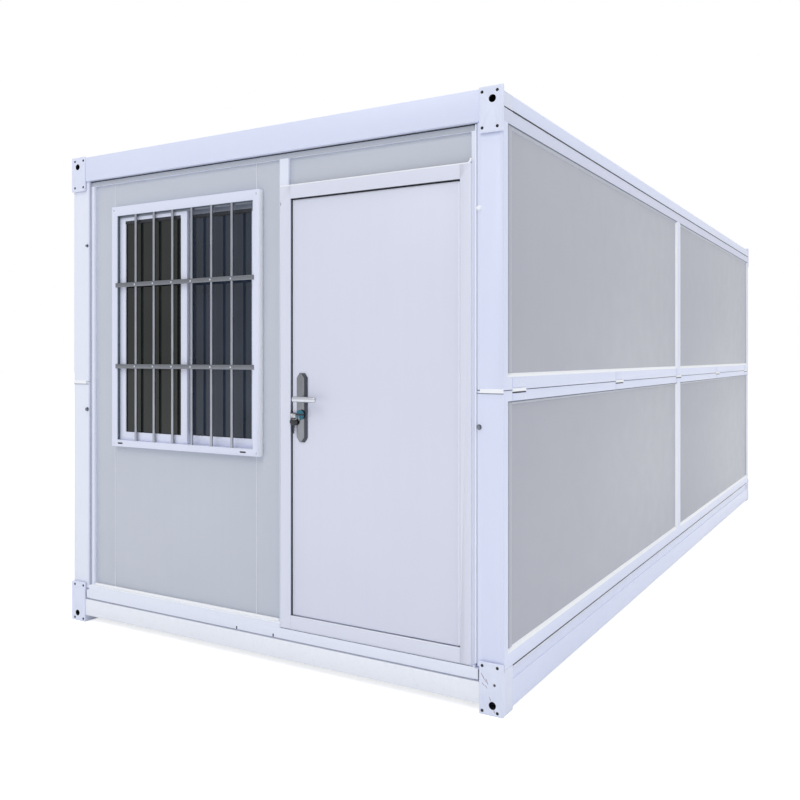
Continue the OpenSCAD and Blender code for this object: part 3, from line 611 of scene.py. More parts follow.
def growth_tree(name, sizes):
    """A geometry tree with one named input for each size, the function that adds its nodes,
    and what it is given."""
    tree = bpy.data.node_groups.new(name, "GeometryNodeTree")
    tree.interface.new_socket("Geometry", in_out="INPUT", socket_type="NodeSocketGeometry")
    for label in sizes:
        tree.interface.new_socket(label, in_out="INPUT", socket_type="NodeSocketFloat")
    tree.interface.new_socket("Geometry", in_out="OUTPUT", socket_type="NodeSocketGeometry")
    add = partial(add_node, tree, family="")
    return tree, add, add("NodeGroupInput", give=None).outputs


def end_tree(tree, add, geometry, material):
    """The last nodes of every tree: real geometry with its material."""
    real = add("GeometryNodeRealizeInstances", {"Geometry": geometry})
    coloured = add("GeometryNodeSetMaterial", {"Geometry": real, "Material": material})
    add("NodeGroupOutput", {"Geometry": coloured}, None)
    return tree


def grown(mesh, tree, sizes):
    """The plain mesh that a tree grows on a mesh, with its sizes set by socket identifier."""
    holder = linked("holder", mesh)
    modifier = holder.modifiers.new("growth", "NODES")
    modifier.node_group = tree
    for socket in tree.interface.items_tree:
        if socket.in_out == "INPUT" and socket.name in sizes:
            modifier[socket.identifier] = float(sizes[socket.name])
    finished = bpy.data.meshes.new_from_object(
        holder.evaluated_get(bpy.context.evaluated_depsgraph_get())
    )
    bpy.data.objects.remove(holder)
    return dress(finished, *[material for material in finished.materials if material])


def points_mesh(points, edges=()):
    """A mesh of points, loose or joined in lines."""
    mesh = bpy.data.meshes.new("points")
    mesh.from_pydata([tuple(point) for point in points], edges, [])
    return mesh


def fastener_tree(material, sides, direction, sizes):
    """Grows one fastener on each point: a washer, a head with that many sides and a dome."""
    tree, add, given = growth_tree("fasteners", sizes)
    discs = {}
    for part, corners, narrowing in (("Washer", 28, 0.92), ("Head", sides, 0.9)):
        radius = given[f"{part} Radius"]
        top = add("ShaderNodeMath", {0: radius, 1: narrowing}, operation="MULTIPLY")
        disc = {"Vertices": corners, "Radius Top": top, "Radius Bottom": radius}
        discs[part] = add("GeometryNodeMeshCone", {**disc, "Depth": given[f"{part} Height"]})
    heights = {0: given["Washer Height"], 1: given["Head Height"]}
    head_top = add("ShaderNodeMath", heights, operation="ADD")
    ball = add("GeometryNodeMeshUVSphere", {"Segments": 28, "Rings": 12, "Radius": 1.0})
    dome_size = add("ShaderNodeCombineXYZ", {"X": top, "Y": top, "Z": given["Dome"]})
    dome_place = add("ShaderNodeCombineXYZ", {"Z": head_top})
    placing = {"Geometry": ball, "Translation": dome_place, "Scale": dome_size}
    dome = add("GeometryNodeTransform", placing)
    head_place = add("ShaderNodeCombineXYZ", {"Z": given["Washer Height"]})
    placing = {"Geometry": discs["Head"], "Translation": head_place}
    raised_head = add("GeometryNodeTransform", placing)
    whole = add("GeometryNodeJoinGeometry", give=None)
    for part in (discs["Washer"], raised_head, dome):
        tree.links.new(part, whole.inputs[0])
    facing = add("FunctionNodeAlignRotationToVector", {"Vector": direction}, axis="Z")
    spread = {"Points": given["Geometry"], "Instance": whole.outputs[0], "Rotation": facing}
    return end_tree(tree, add, add("GeometryNodeInstanceOnPoints", spread), material)


def fasteners(places, direction, material, sides, head, washer, dome):
    """The mesh of a set of like fasteners. head and washer are a width and a height, and all
    sizes are in millimetres."""
    sizes = {
        "Head Radius": head[0] / 2 * MM,
        "Head Height": head[1] * MM,
        "Washer Radius": washer[0] / 2 * MM,
        "Washer Height": washer[1] * MM,
        "Dome": dome * MM,
    }
    return grown(points_mesh(places), fastener_tree(material, sides, direction, sizes), sizes)


def bead_tree(material):
    """Runs a round bead along the lines of a mesh, with eased corners."""
    tree, add, given = growth_tree("bead", ("Bead Radius", "Corner Radius"))
    line = add("GeometryNodeMeshToCurve", {"Mesh": given["Geometry"]})
    corners = {"Curve": line, "Radius": given["Corner Radius"], "Count": 6}
    rounded = add("GeometryNodeFilletCurve", corners, mode="POLY")
    section = add("GeometryNodeCurvePrimitiveCircle", {"Resolution": 10, "Radius": given["Bead Radius"]})
    run = {"Curve": rounded, "Profile Curve": section, "Fill Caps": True}
    return end_tree(tree, add, add("GeometryNodeCurveToMesh", run), material)


def bead(lines, closed, diameter, material, corner=0.5):
    """The mesh of round beads along several lines. Sizes are in millimetres."""
    tree = bead_tree(material)
    sizes = {"Bead Radius": diameter / 2 * MM, "Corner Radius": corner * MM}
    beads = []
    for line in lines:
        count = len(line)
        edges = [(i, (i + 1) % count) for i in range(count if closed else count - 1)]
        beads.append(grown(points_mesh(line, edges), tree, sizes))
    return joined(*beads)


def row_tree(material):
    """Repeats one shape along the house at an even pitch."""
    tree, add, given = growth_tree("row", ("Number", "Pitch"))
    step = add("ShaderNodeCombineXYZ", {"Y": given["Pitch"]})
    line = add("GeometryNodeMeshLine", {"Count": given["Number"], "Offset": step})
    spread = {"Points": line, "Instance": given["Geometry"]}
    return end_tree(tree, add, add("GeometryNodeInstanceOnPoints", spread), material)


# ---- Steel, fittings and panels: the construction with its edges rounded ----

def finish(
    node, paint, slot="frame_paint", body="shell", width=2.0,
    mesh=None, grooves=None, trims=(), pick=None, part_z=None,
):
    """A construction node with eased edges, shown in its place. grooves are cut when the edges
    are done. pick gives a face's number: 0 for the paint, 1 or more for the trims in their
    order. part_z is a level at which the faces are parted first."""
    shape = eased(mesh or node_mesh(node), width * MM)
    if grooves:
        shape = cut(shape, grooves)
    dress(shape, paint, *trims)
    if part_z:
        part_faces(shape, part_z)
    for face in shape.polygons:
        face.material_index = pick(face) if pick else 0
    return keep(f"{node}_eased", shape, body, slot, node)


def part_faces(mesh, level):
    """Parts the mesh's faces along a level, so that each side can have its own paint."""
    shape = bmesh.new()
    shape.from_mesh(mesh)
    everything = shape.verts[:] + shape.edges[:] + shape.faces[:]
    bmesh.ops.bisect_plane(shape, geom=everything, dist=1e-6, plane_co=(0, 0, level), plane_no=(0, 0, 1))
    shape.to_mesh(mesh)
    shape.free()


def side_frame_part(face):
    """1 for the white strips under a side panel and along the middle stile, and for the lip on
    the posts: white as a painted highlight. 2 for the grey strip over a panel, which faces
    down: painted shade. The strips are broad and slope to the wall. 3 for the rail under the
    roof: painted shade of the roof's edge."""
    if abs(face.normal.x) > 0.9 and face.center.z > head_rail_z:
        return 3
    if abs(face.center.y) > -depth(11.5):
        return 1
    upright = face.normal.z
    steep = max(abs(upright), abs(face.normal.y))
    if face.area < 0.004 or not 0.3 < steep < 0.8:
        return 0
    if upright < -0.3:
        return 2
    return int(upright > 0.3 or abs(face.center.y) < 2 * STILE_HALF_W)


def front_frame_part(face):
    """1 for the track along the top of the front wall, grey as painted shade under the roof
    beam, 2 for the sill's top edge, white as a painted highlight.
    """
    if face.center.z > wall.z1 - TRIM_W:
        return 1
    return 2 if face.normal.z > 0.3 and abs(face.center.z - SILL_TOP_Z) < 3 * MM else 0


def sash_part(face):
    """1 for the top rail of the rear sash, which the window's head keeps in the shade."""
    return int(face.center.z > pane_z1 and face.center.y > depth(40))


def window_frame_part(face):
    """1 for the walls of the two drain slots in the window's sill, dark as painted shade, 2 for
    the frame's sides, brighter as painted light.
    """
    if abs(face.normal.x) > 0.9 and not window.x0 + 5 * MM < face.center.x < window.x1 - 5 * MM:
        return 2
    behind = face.center.y > depth(8.5)
    return int(behind and abs(face.center.z - drain_z) < 3.5 * MM and face.area < 0.0004)


def inside(point, ranges):
    """Whether a point is in a box, and off its skin."""
    margin = 0.5 * MM
    return all(low + margin < place < high - margin for place, (low, high) in zip(point, ranges))


def finish_fitting(level, end, side, paint):
    """A corner fitting, with painted shade in its hollow and its holes."""
    node = f"{level}_corner_{end}_{side}"
    low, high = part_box(node)
    beam_low, beam_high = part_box(f"{level}_beam_right")
    outer_x = high.x if side == "right" else -low.x
    plate = ((beam_low.x, outer_x), (-FRONT - PLATE_T, -FRONT), (low.z, high.z))
    body = ((beam_low.x, beam_high.x), (beam_high.y, -FRONT), (beam_low.z, beam_high.z))
    mesh = dress(eased(node_mesh(node), 1.2 * MM), paint, painted_shade_in_hollows)
    for face in mesh.polygons:
        point = (abs(face.center.x), abs(face.center.y), face.center.z)
        bevelled_edge = face.area > 0.0005 and min(abs(face.normal.x), abs(face.normal.z)) > 0.3
        hidden = inside(point, plate) or inside(point, body)
        face.material_index = int(hidden and not bevelled_edge)
    keep(f"{node}_eased", mesh, "shell", "fitting_paint", node)


for end in ("front", "rear"):
    finish(f"base_beam_{end}", base_enamel_painted_light, width=3)
    finish(f"roof_beam_{end}", enamel, width=3)
for side in ("left", "right"):
    finish(f"base_beam_{side}", enamel)
    finish(f"roof_beam_{side}", enamel)
    # The left side's frames take the brighter white as painted light.
    frame_paint = end_wall_enamel_painted_light if side == "left" else enamel
    for half in ("upper", "lower"):
        finish(
            f"{half}_frame_{side}", frame_paint, width=1.6,
            trims=(white_strip_and_painted_highlight, grey_track_painted_shade, rail_enamel_painted_shade), pick=side_frame_part,
            part_z=head_rail_z if half == "upper" else None,
        )
    for half in ("upper", "lower"):
        finish(f"{half}_panels_{side}", side_sheet, "side_panel_paint", width=1)
    for end in ("front", "rear"):
        worn = end == "front" and side == "right"
        finish_fitting("base", end, side, worn_enamel if worn else fitting_enamel)
        finish_fitting("roof", end, side, fitting_enamel)

under_door_frame = span(door_frame.z0, -3.5, -0.2)
# A slot under the door frame's foot, to hold the strip that paints its shadow.
shadow_slot_x = (door_frame.x0 + 1 * MM, door_frame.x1 - 1 * MM)
finish(
    "front_wall_frame", end_wall_enamel_painted_light, "frame_paint", "front_wall", width=1.5,
    mesh=cut(node_mesh("front_wall_frame"), box_mesh((shadow_slot_x, depths(4, 9), under_door_frame))),
    trims=(grey_track_painted_shade, white_strip_and_painted_highlight), pick=front_frame_part, part_z=wall.z1 - TRIM_W,
)
finish("rear_wall_frame", enamel, width=1.5)
finish("rear_wall_panels", end_sheet, "end_panel_paint", width=1)
for panel in ("left", "middle", "right", "transom"):
    finish(f"front_panel_{panel}", end_sheet, "end_panel_paint", "front_wall", width=1)
finish("front_hinge_pins", enamel, "hinge_steel", width=0.8)
finish("front_hinge_knuckles", enamel, "hinge_steel", "front_wall", width=0.8)
finish("rear_wall_hinges", enamel, "hinge_steel", width=0.8)

opening_x0 = door_frame.x0 + DOOR_FACE
opening_x1 = door_frame.x1 - DOOR_FACE
opening_z0 = door_frame.z0 + DOOR_FACE
opening_z1 = door_frame.z1 - DOOR_FACE
past_frame_z = (door_frame.z0 - 1 * MM, door_frame.z1 + 1 * MM)
frame_joints = box_mesh(
    *[
        (span(x, -0.5, 0.5), depths(5, 6.8), ends)
        for x in (opening_x0, opening_x1)
        for ends in ((past_frame_z[0], opening_z0), (opening_z1, past_frame_z[1]))
    ]
)
frame_rebates = box_mesh(
    (span(door_frame.x1, -8, 1), depths(5, 13), past_frame_z),
    (span(door_frame.x0, -1, 5), depths(5, 23), FOOT_NOTCH_Z),
    (span(door_frame.x0, -1, 4), depths(5, 23), HEAD_NOTCH_Z),
)
finish(
    "door_frame", door_frame_enamel, "door_frame_paint", "front_wall", width=1.6,
    mesh=cut(node_mesh("door_frame"), frame_rebates), grooves=frame_joints,
)
leaf_box = box_mesh(((leaf.x0, leaf.x1), (leaf.y0, leaf.y1), (leaf.z0, leaf.z1)))
finish("door_leaf", door_enamel, "door_paint", "door", mesh=leaf_box)


def side_boxes(x_range, y_range, z_range):
    """A box's ranges at the front right, and at the three places that mirror it."""
    return [
        (sorted(across * x for x in x_range), sorted(along * y for y in y_range), z_range)
        for across in (-1, 1)
        for along in (-1, 1)
    ]


def fold_hinges(side):
    """The row of hinges along the fold: leaves, a barrel in three knuckles, and screws.
    The barrel is bright white as a painted highlight, with a dark strip under it as its painted shadow.
    """
    outwards = 1 if side == "right" else -1
    place = Place(f"fold_hinges_{side}")
    first_y = place.y0 + FOLD_HINGE_L / 2
    pitch = (place.y1 - place.y0 - FOLD_HINGE_L) / (FOLD_HINGE_COUNT - 1)
    sizes = {"Number": FOLD_HINGE_COUNT, "Pitch": pitch}
    leaf_x = sorted(outwards * x for x in span(SIDE_FACE, -0.5, 1.8))
    leaf_y = around(first_y, FOLD_HINGE_L)
    leaves = soft_boxes(
        enamel, 0.5,
        (leaf_x, leaf_y, (FOLD_Z + 12 * MM, place.z1)), (leaf_x, leaf_y, (place.z0, FOLD_Z - 13 * MM)),
    )
    knuckle = FOLD_HINGE_L / 3
    profile = rod_profile(knuckle - 1 * MM, KNUCKLE_D / 2)
    barrel_x = outwards * (cad_high.x - KNUCKLE_D / 2)
    knuckles = [
        turned(profile, (barrel_x, leaf_y[0] + i * knuckle + 0.5 * MM, FOLD_Z), (0, 1, 0), 28)
        for i in range(3)
    ]
    # A black strip under the barrel: its painted shadow.
    barrel_shadow_x = sorted(outwards * x for x in span(SIDE_FACE, -6, 0.6))
    barrel_shadow = box_mesh((barrel_shadow_x, leaf_y, span(FOLD_Z, -12.5, -7.5)))
    screw_places = [
        (leaf_x[outwards > 0], first_y + i * pitch + along, FOLD_Z + z)
        for i in range(FOLD_HINGE_COUNT)
        for along in (-45 * MM, 0, 45 * MM)
        for z in (33 * MM, -28 * MM)
    ]
    screws = fasteners(screw_places, (outwards, 0, 0), enamel, 16, (9, 0.3), (10, 0.3), 0.5)
    hinges = joined(
        grown(leaves, row_tree(enamel), sizes),
        grown(joined(*knuckles), row_tree(white_strip_and_painted_highlight), sizes),
        grown(barrel_shadow, row_tree(rubber), sizes),
        screws,
    )
    keep(f"fold_hinges_{side}_with_screws", hinges, "shell", "hinge_steel", f"fold_hinges_{side}")


bay_y = (upper_panels.y0 - STRIP_W + 2 * MM, -STILE_HALF_W + STRIP_W - 2 * MM)
end_strips = []
middle_strips = []
top_shadow_lines = []
for bay in (upper_panels, lower_panels):
    top_z = bay.z1 + STRIP_W
    strip_top_z = top_z - 4 * MM
    end_strips += side_boxes(span(SIDE_FACE, -11, -1.5), depths(66, 95), (bay.z0 + 1 * MM, strip_top_z))
    # Bright white strips beside the middle stile: painted highlight.
    middle_strips += side_boxes(
        span(SIDE_FACE, -2, 0.8), (-36 * MM, -45 * MM),
        (bay.z0 - STRIP_W + 4 * MM, strip_top_z),
    )
    # Grey lines under the strips over the panels: painted shade.
    top_shadow_lines += side_boxes(span(SIDE_FACE, -4, 0.2), bay_y, span(top_z, -4.5, -0.5))
bay_strips = joined(
    soft_boxes(side_sheet, 1.5, *end_strips[1::2]),
    soft_boxes(base_enamel_painted_light, 1.5, *end_strips[0::2]),
    soft_boxes(white_strip_and_painted_highlight, 0.6, *middle_strips),
    soft_boxes(grey_rubber_painted_shade, 0.4, *top_shadow_lines),
)
keep("side_panel_strips_with_painted_light_and_shade", bay_strips, "shell", "frame_paint")
for side in ("left", "right"):
    fold_hinges(side)


# ---- Window ----

def slot_box(x, z, width, height, first, last):
    """A box's ranges, centred on a point of the front wall. Sizes are in millimetres."""
    return around(x, width * MM), depths(first, last), around(z, height * MM)


drains = box_mesh(
    slot_box(window.x0 + 62 * MM, drain_z, 30, 6, 8, 16),
    slot_box(window.x1 - 98 * MM, drain_z, 30, 6, 8, 16),
)
finish(
    "window_frame", window_enamel, "window_paint", "front_wall", width=2.5,
    mesh=cut(node_mesh("window_frame"), drains), trims=(painted_shade_in_hollows, white_strip_and_painted_highlight), pick=window_frame_part,
)
dress(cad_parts["window_glass"].data, glass)

sash_span = (light_x1 - light_x0 + SASH_MEMBER) / 2
panes = (
    (light_x0 + SASH_MEMBER, light_x0 + sash_span - SASH_MEMBER, 28),
    (light_x1 - sash_span + SASH_MEMBER, light_x1 - SASH_MEMBER, 52),
)
finish(
    "window_sashes", window_enamel, "window_paint", "front_wall",
    trims=(dark_track_painted_shade,), pick=sash_part, part_z=pane_z1,
)

glazing_lines = []
for x0, x1, pane_d in panes:
    left, right = x0 + 1 * MM, x1 - 1 * MM
    bottom, top = pane_z0 + 1 * MM, pane_z1 - 1 * MM
    corners = ((left, bottom), (right, bottom), (right, top), (left, top))
    glazing_lines.append([(x, depth(pane_d + 7.6), z) for x, z in corners])
keep("window_glazing_seals", bead(glazing_lines, True, 4.5, rubber), "front_wall", "window_paint")

screw_places = [
    (x, window.y0, z)
    for z in (window.z0 + 15 * MM, window.z1 - 20 * MM)
    for x in (window.x0 + 17 * MM, window.x1 - 17 * MM)
]
frame_screws = fasteners(screw_places, (0, -1, 0), zinc_bolts, 20, (9, 1), (10, 0.4), 1.2)
keep("window_frame_screws", frame_screws, "front_wall", "window_paint")

bar_middle = (light_x0 + light_x1) / 2
bar_places = [bar_middle + (i - (BAR_COUNT - 1) / 2) * BAR_PITCH for i in range(BAR_COUNT)]
bar_y = bars.y0 + CROSS_BAR_T + BAR_D / 2
bar_profile = rod_profile(light_z1 - light_z0, BAR_D / 2, 0.5 * MM, 0.6 * MM)
round_bars = [
    dress(turned(bar_profile, (x, bar_y, light_z0), (0, 0, 1), 28), bar_steel) for x in bar_places
]
cross_bars = [
    ((bars.x0, bars.x1), (bars.y0, bars.y0 + CROSS_BAR_T), around(light_z0 + z, CROSS_BAR_H))
    for z in CROSS_BARS
]
rivet_places = [(x, bars.y0 + 0.2 * MM, light_z0 + z) for x in bar_places for z in CROSS_BARS]
rivets = fasteners(rivet_places, (0, -1, 0), zinc_bolts, 16, (9, 0.4), (10, 0.3), 2)
grille = joined(*round_bars, soft_boxes(flat_steel, 0.8, *cross_bars), rivets)
keep("window_bars_with_rivets", grille, "front_wall", "bar_steel", "window_bars")


# ---- Seals, sealant, strips of painted shade and highlight, and the bolts in the posts ----

seal_z = (opening_z0 + 2 * MM, opening_z1)
door_seal = joined(
    soft_boxes(
        rubber, 0.5,
        ((opening_x0, opening_x0 + SEAL_T), depths(12, 26), seal_z),
        ((opening_x0, opening_x1), depths(8, 26), (opening_z1 - SEAL_T, opening_z1)),
    ),
    soft_boxes(
        pale_seal, 0.5,
        (span(opening_x1, -1.8, 0), depths(12, 26), (seal_z[0], opening_z1 - SEAL_T)),
    ),
)
keep("door_seal", door_seal, "front_wall", "door_frame_paint")
# A white strip on the leaf's free edge, brighter than the leaf: painted light in the gap beside the frame.
leaf_edge_z = (leaf.z0 + 2 * MM, leaf.z1 - 2 * MM)
leaf_edge_painted_light = soft_boxes(
    white_strip_and_painted_highlight, 0.5,
    (span(leaf.x1, -0.5, 4.5), depths(16.4, 22), leaf_edge_z),
    (span(leaf.x1, -0.5, 6.3), depths(20, 24), leaf_edge_z),
)
keep("door_leaf_edge_strip_painted_light", leaf_edge_painted_light, "door", "door_paint")
# A white threshold strip on the door frame's sill: a painted highlight on its upward face.
sill_strip_z = span(opening_z0, 0, 1.5)
sill_strip_highlight = soft_boxes(white_strip_and_painted_highlight, 0.4, ((opening_x0, opening_x1), depths(6.5, 15), sill_strip_z))
keep("door_sill_strip_painted_highlight", sill_strip_highlight, "front_wall", "door_frame_paint")

wall_edge = TRIM_W - left_panel.x0
inner_trim_x = wall_edge - TRIM_W
stud_x = jamb_x0 - STUD_W
frame_top_line = [
    (stud_x + 12 * MM, depth(16), door_frame.z1 + 2 * MM),
    (inner_trim_x - 4 * MM, depth(18), door_frame.z1 + 2 * MM),
    (inner_trim_x - 2 * MM, depth(24), door_frame.z1 + 22 * MM),
]
frame_sealant = bead([frame_top_line], False, 10, sealant, corner=14)
keep("door_frame_sealant", frame_sealant, "front_wall", "door_frame_paint")
sill_line = [(x, depth(31), SILL_TOP_Z + 3 * MM) for x in (-inner_trim_x + 6 * MM, stud_x - 6 * MM)]
sill_sealant = bead([sill_line], False, 15, sealant, corner=0)
keep("front_sill_sealant", sill_sealant, "front_wall", "frame_paint")
joint_lines = [
    [(x, depth(38.4), z) for z in (left_panel.z0, left_panel.z1)]
    for x in (left_panel.x1, middle_panel.x1)
]
front_joints = bead(joint_lines, False, 5, joint_filler, corner=0)
keep("front_panel_joint_sealant", front_joints, "front_wall", "end_panel_paint")
keep("rear_panel_joint_sealant", mirrored(front_joints), "shell", "end_panel_paint")

side_gap_z = (wall.z0 + 60 * MM, wall.z1)
# Black rubber along the wall's top, in the slits beside the sill and in the weep slots paints the shade in
# those gaps; the pale seals and the brighter white strip fill the side gaps.
edge_seals_and_gap_shade = joined(
    soft_boxes(
        rubber, 0.6,
        ((-wall_edge, wall_edge), depths(24.5, 60), span(wall.z1, 0, 3.5)),
        *[
            (span(x, 0, 4), depths(9, 70), span(wall.z0, 3, 40))
            for x in (wall.x0 - 4 * MM, wall.x1)
        ],
        *[
            (span(x, -3.6, 3.6), depths(7, 12), span(wall.z0, 0.5, 13))
            for x in WEEP_X
        ],
    ),
    soft_boxes(
        pale_seal, 0.6,
        ((-wall_edge - 4.7 * MM, -wall_edge), depths(15, 60), side_gap_z),
        ((-wall_edge, wall_edge), depths(9, 60), span(wall.z0, -5, 0)),
    ),
    soft_boxes(base_enamel_painted_light, 0.6, (span(wall_edge, 0, 4.7), depths(12.6, 60), side_gap_z)),
)
keep("front_wall_edge_seals_and_gap_shade", edge_seals_and_gap_shade, "front_wall", "frame_paint")
keep("rear_wall_edge_seals_and_gap_shade", mirrored(edge_seals_and_gap_shade), "shell", "frame_paint")
# A cover over the gap beside the door frame, and a black strip in the slot under the frame's foot: the
# painted shadow of that foot.
jamb_cover_z = (door_frame.z0 + 2 * MM, door_frame.z1)
shadow_line_x = (door_frame.x0 + 2 * MM, door_frame.x1 - 2 * MM)
cover_and_shadow_line = joined(
    soft_boxes(enamel, 1, ((door_frame.x1, wall_edge - 0.3 * MM), depths(15, 25), jamb_cover_z)),
    dress(box_mesh((shadow_line_x, depths(7, 9.5), under_door_frame)), rubber),
)
keep("door_frame_cover_and_painted_shadow_line", cover_and_shadow_line, "front_wall", "door_frame_paint")

# Dark strips in the seams at the base, the fold and the roof, beside the corner plates and under the posts'
# lip paint the shade in those gaps; the white strip under the base seam is a painted highlight.
seam_x = span(SIDE_FACE, -9, -1)
seam_y = (depth(101), 0)
seam_shade_parts = (
    (seam_rubber_painted_shade, seam_x, seam_y, span(BASE_SEAM_Z, -2.6, 2.8)),
    (seam_rubber_painted_shade, seam_x, seam_y, span(FOLD_Z, -1.3, 1.3)),
    (rubber, span(SIDE_FACE, -9, 0.8), seam_y, span(ROOF_SEAM_Z, -1.5, 4.5)),
    (rubber, span(SIDE_FACE, -1, 2), depths(9.6, 13), CORNER_SHADOW_Z),
    (grey_rubber_painted_shade, POST_LIP_SHADOW_X, depths(11.4, 12.2), POST_LIP_SHADOW_Z),
    (white_strip_and_painted_highlight, span(SIDE_FACE, -2, 0.8), seam_y, span(BASE_SEAM_Z, -6, -3)),
)
side_seam_shade = joined(
    *[dress(box_mesh(*side_boxes(*ranges)), material) for material, *ranges in seam_shade_parts]
)
keep("side_seam_painted_shade", side_seam_shade, "shell", "frame_paint")

# Dark brush seals on the reveals of the window's opening: partly real seals, partly painted shade of the
# reveals.
brush_z = (light_z0 + 3 * MM, light_z1)
brush_seals_and_reveal_shade = soft_boxes(
    reveal_seal, 0.4,
    (span(light_x0, 0, 2), depths(14, 27), brush_z),
    (span(light_x1, -2, 0), depths(14, 27), brush_z),
    (light_x, depths(14, 27), span(light_z1, -2, 0)),
)
keep("window_brush_seals_and_reveal_shade", brush_seals_and_reveal_shade, "front_wall", "window_paint")
# A grey lip under the window's head and dark strips over the top rails of both sashes: painted shade under
# the head.
head_shade_z = span(pane_z1, -1, 14)
head_shade_strips = [((x0, x1), depths(pane_d - 0.5, pane_d + 6), head_shade_z) for x0, x1, pane_d in panes]
window_head_shade = joined(
    soft_boxes(dark_track_painted_shade, 0.5, (light_x, depths(25.2, 27.6), span(light_z1, -11, 0))),
    soft_boxes(rubber, 0.8, *head_shade_strips),
)
keep("window_head_painted_shade", window_head_shade, "front_wall", "window_paint")

# Dark discs a little inside the fittings' bolt holes: painted shade in the holes.
hole_shade_places = [(side * x, depth(4), z) for side in (-1, 1) for x in BOLT_HOLE_X for z in BOLT_HOLE_Z]
hole_shade_discs = fasteners(hole_shade_places, (0, -1, 0), painted_shade_in_hollows, 24, (12.2, 1), (12.2, 1), 0.2)
keep("bolt_hole_painted_shade_discs", joined(hole_shade_discs, mirrored(hole_shade_discs)), "shell", "fitting_paint")

bolt_x = cad_high.x - BOLT_IN
post_bolts = []
for x, z, bolt_finish, head_d in (
    (-bolt_x, UPPER_BOLT_Z, dull_bolts, 13), (bolt_x, UPPER_BOLT_Z, white_strip_and_painted_highlight, 18),
    (-bolt_x, LOWER_BOLT_Z, dull_bolts, 18), (bolt_x, LOWER_BOLT_Z, dull_bolts, 18),
):
    bolt = fasteners(
        [(x, depth(12), z)], (0, -1, 0), bolt_finish, 6, (head_d, 7), (head_d + 4, 1.2), 1.2
    )
    post_bolts += [bolt, mirrored(bolt)]
keep("post_bolts", joined(*post_bolts), "shell", "frame_paint")


# ---- Door furniture ----

def plate_outline(inset, right_inset):
    """A handle plate's outline, with its four corners cut off at an angle."""
    x0, x1 = plates.x0 + inset, plates.x1 - right_inset
    z0, z1 = plates.z0 + inset, plates.z1 - inset
    run = PLATE_CHAMFER
    rise = run * 1.35
    return [
        (x0 + run, z0), (x1 - run, z0), (x1, z0 + rise), (x1, z1 - rise),
        (x1 - run, z1), (x0 + run, z1), (x0, z1 - rise), (x0, z0 + rise),
    ]


def handle_plate(outer_y, inner_y):
    """One plate whose front edges slope, the one towards the door's pivots over a wide band.
    The faces turned that way are dark steel: a painted dark reflection.
    """
    slope_end_y = outer_y + (inner_y - outer_y) * 4.5 * MM / HANDLE_PLATE_T
    mesh = skinned(
        [
            [(x, y, z) for x, z in plate_outline(inset, right_inset)]
            for inset, right_inset, y in (
                (3 * MM, 14 * MM, outer_y), (0, 0, slope_end_y), (0, 0, inner_y),
            )
        ]
    )
    plate = dress(eased(mesh, 0.8 * MM, angle=20), handle_steel, dark_steel_and_painted_reflection)
    # The faces turned towards the pivots take the dark steel: a painted dark reflection.
    for face in plate.polygons:
        face.material_index = int(face.normal.x > 0.2)
    return plate


handle_plates = joined(
    handle_plate(plates.y0, plates.y0 + HANDLE_PLATE_T), handle_plate(plates.y1, plates.y1 - HANDLE_PLATE_T)
)
keep("handle_plates_bevelled", handle_plates, "door", "lock_metal", "handle_plates")

spindle_x = plates.middle.x
lever_r = LEVER_D / 2
spindle_z = lever.z0 + lever_r


def lever_side(grip_y, plate_y):
    """One oval grip with its round end, and the neck that holds it."""
    outwards = 1 if plate_y > grip_y else -1
    reach = abs(plate_y - grip_y)
    length = lever.x1 - spindle_x - 5 * MM
    heel = -lever_r - GRIP_HEEL
    start = [
        (heel, 0), (heel, lever_r * 0.72), (heel + lever_r * 0.14, lever_r * 0.9),
        (heel + lever_r * 0.4, lever_r),
    ]
    ball = [
        (length - lever_r + lever_r * math.sin(a), lever_r * math.cos(a))
        for a in [math.pi / 16 * i for i in range(8)]
    ]
    grip = turned(start + ball + [(length, 0)], (spindle_x, grip_y, spindle_z), (1, 0, 0))
    for vertex in grip.vertices:
        vertex.co.z = spindle_z + GRIP_OVAL * (vertex.co.z - spindle_z)
    neck_profile = [
        (0, 0), (0, lever_r * 0.86), (reach * 0.55, lever_r * 0.82), (reach * 0.7, lever_r * 0.95),
        (reach * 0.97, lever_r), (reach * 0.97, 0),
    ]
    return joined(grip, turned(neck_profile, (spindle_x, grip_y, spindle_z), (0, outwards, 0)))


outer_grip_y = lever.y0 + lever_r
inner_grip_y = lever.y1 - lever_r
spindle_l = inner_grip_y - outer_grip_y
spindle_profile = [(0, 0), (0, 4 * MM), (spindle_l, 4 * MM), (spindle_l, 0)]
whole_lever = joined(
    lever_side(outer_grip_y, plates.y0), lever_side(inner_grip_y, plates.y1),
    turned(spindle_profile, (spindle_x, outer_grip_y, spindle_z), (0, 1, 0), 24),
)
keep("lever_with_neck", dress(whole_lever, lever_steel), "lever", "lock_metal", "lever_handle")

cylinder_z = cylinder.middle.z
lock_profile = rod_profile(cylinder.y1 - cylinder.y0, (cylinder.x1 - cylinder.x0) / 2)
lock_body = turned(lock_profile, (spindle_x, cylinder.y0, cylinder_z), (0, 1, 0))
keep("lock_cylinder_body", dress(lock_body, nickel), "door", "lock_metal", "lock_cylinder")


# ---- Keys in the lock ----

fob_z = cylinder_z + 13 * MM
fob_profile = [
    (along * MM, radius * MM)
    for along, radius in ((0, 0), (0, 17), (0.6, 20), (2, 22), (4, 22), (5.4, 20), (6, 17), (6, 0))
]
fob = dress(turned(fob_profile, (spindle_x, cylinder.y0 - 9 * MM, fob_z), (0, 1, 0), 36), fob_plastic)
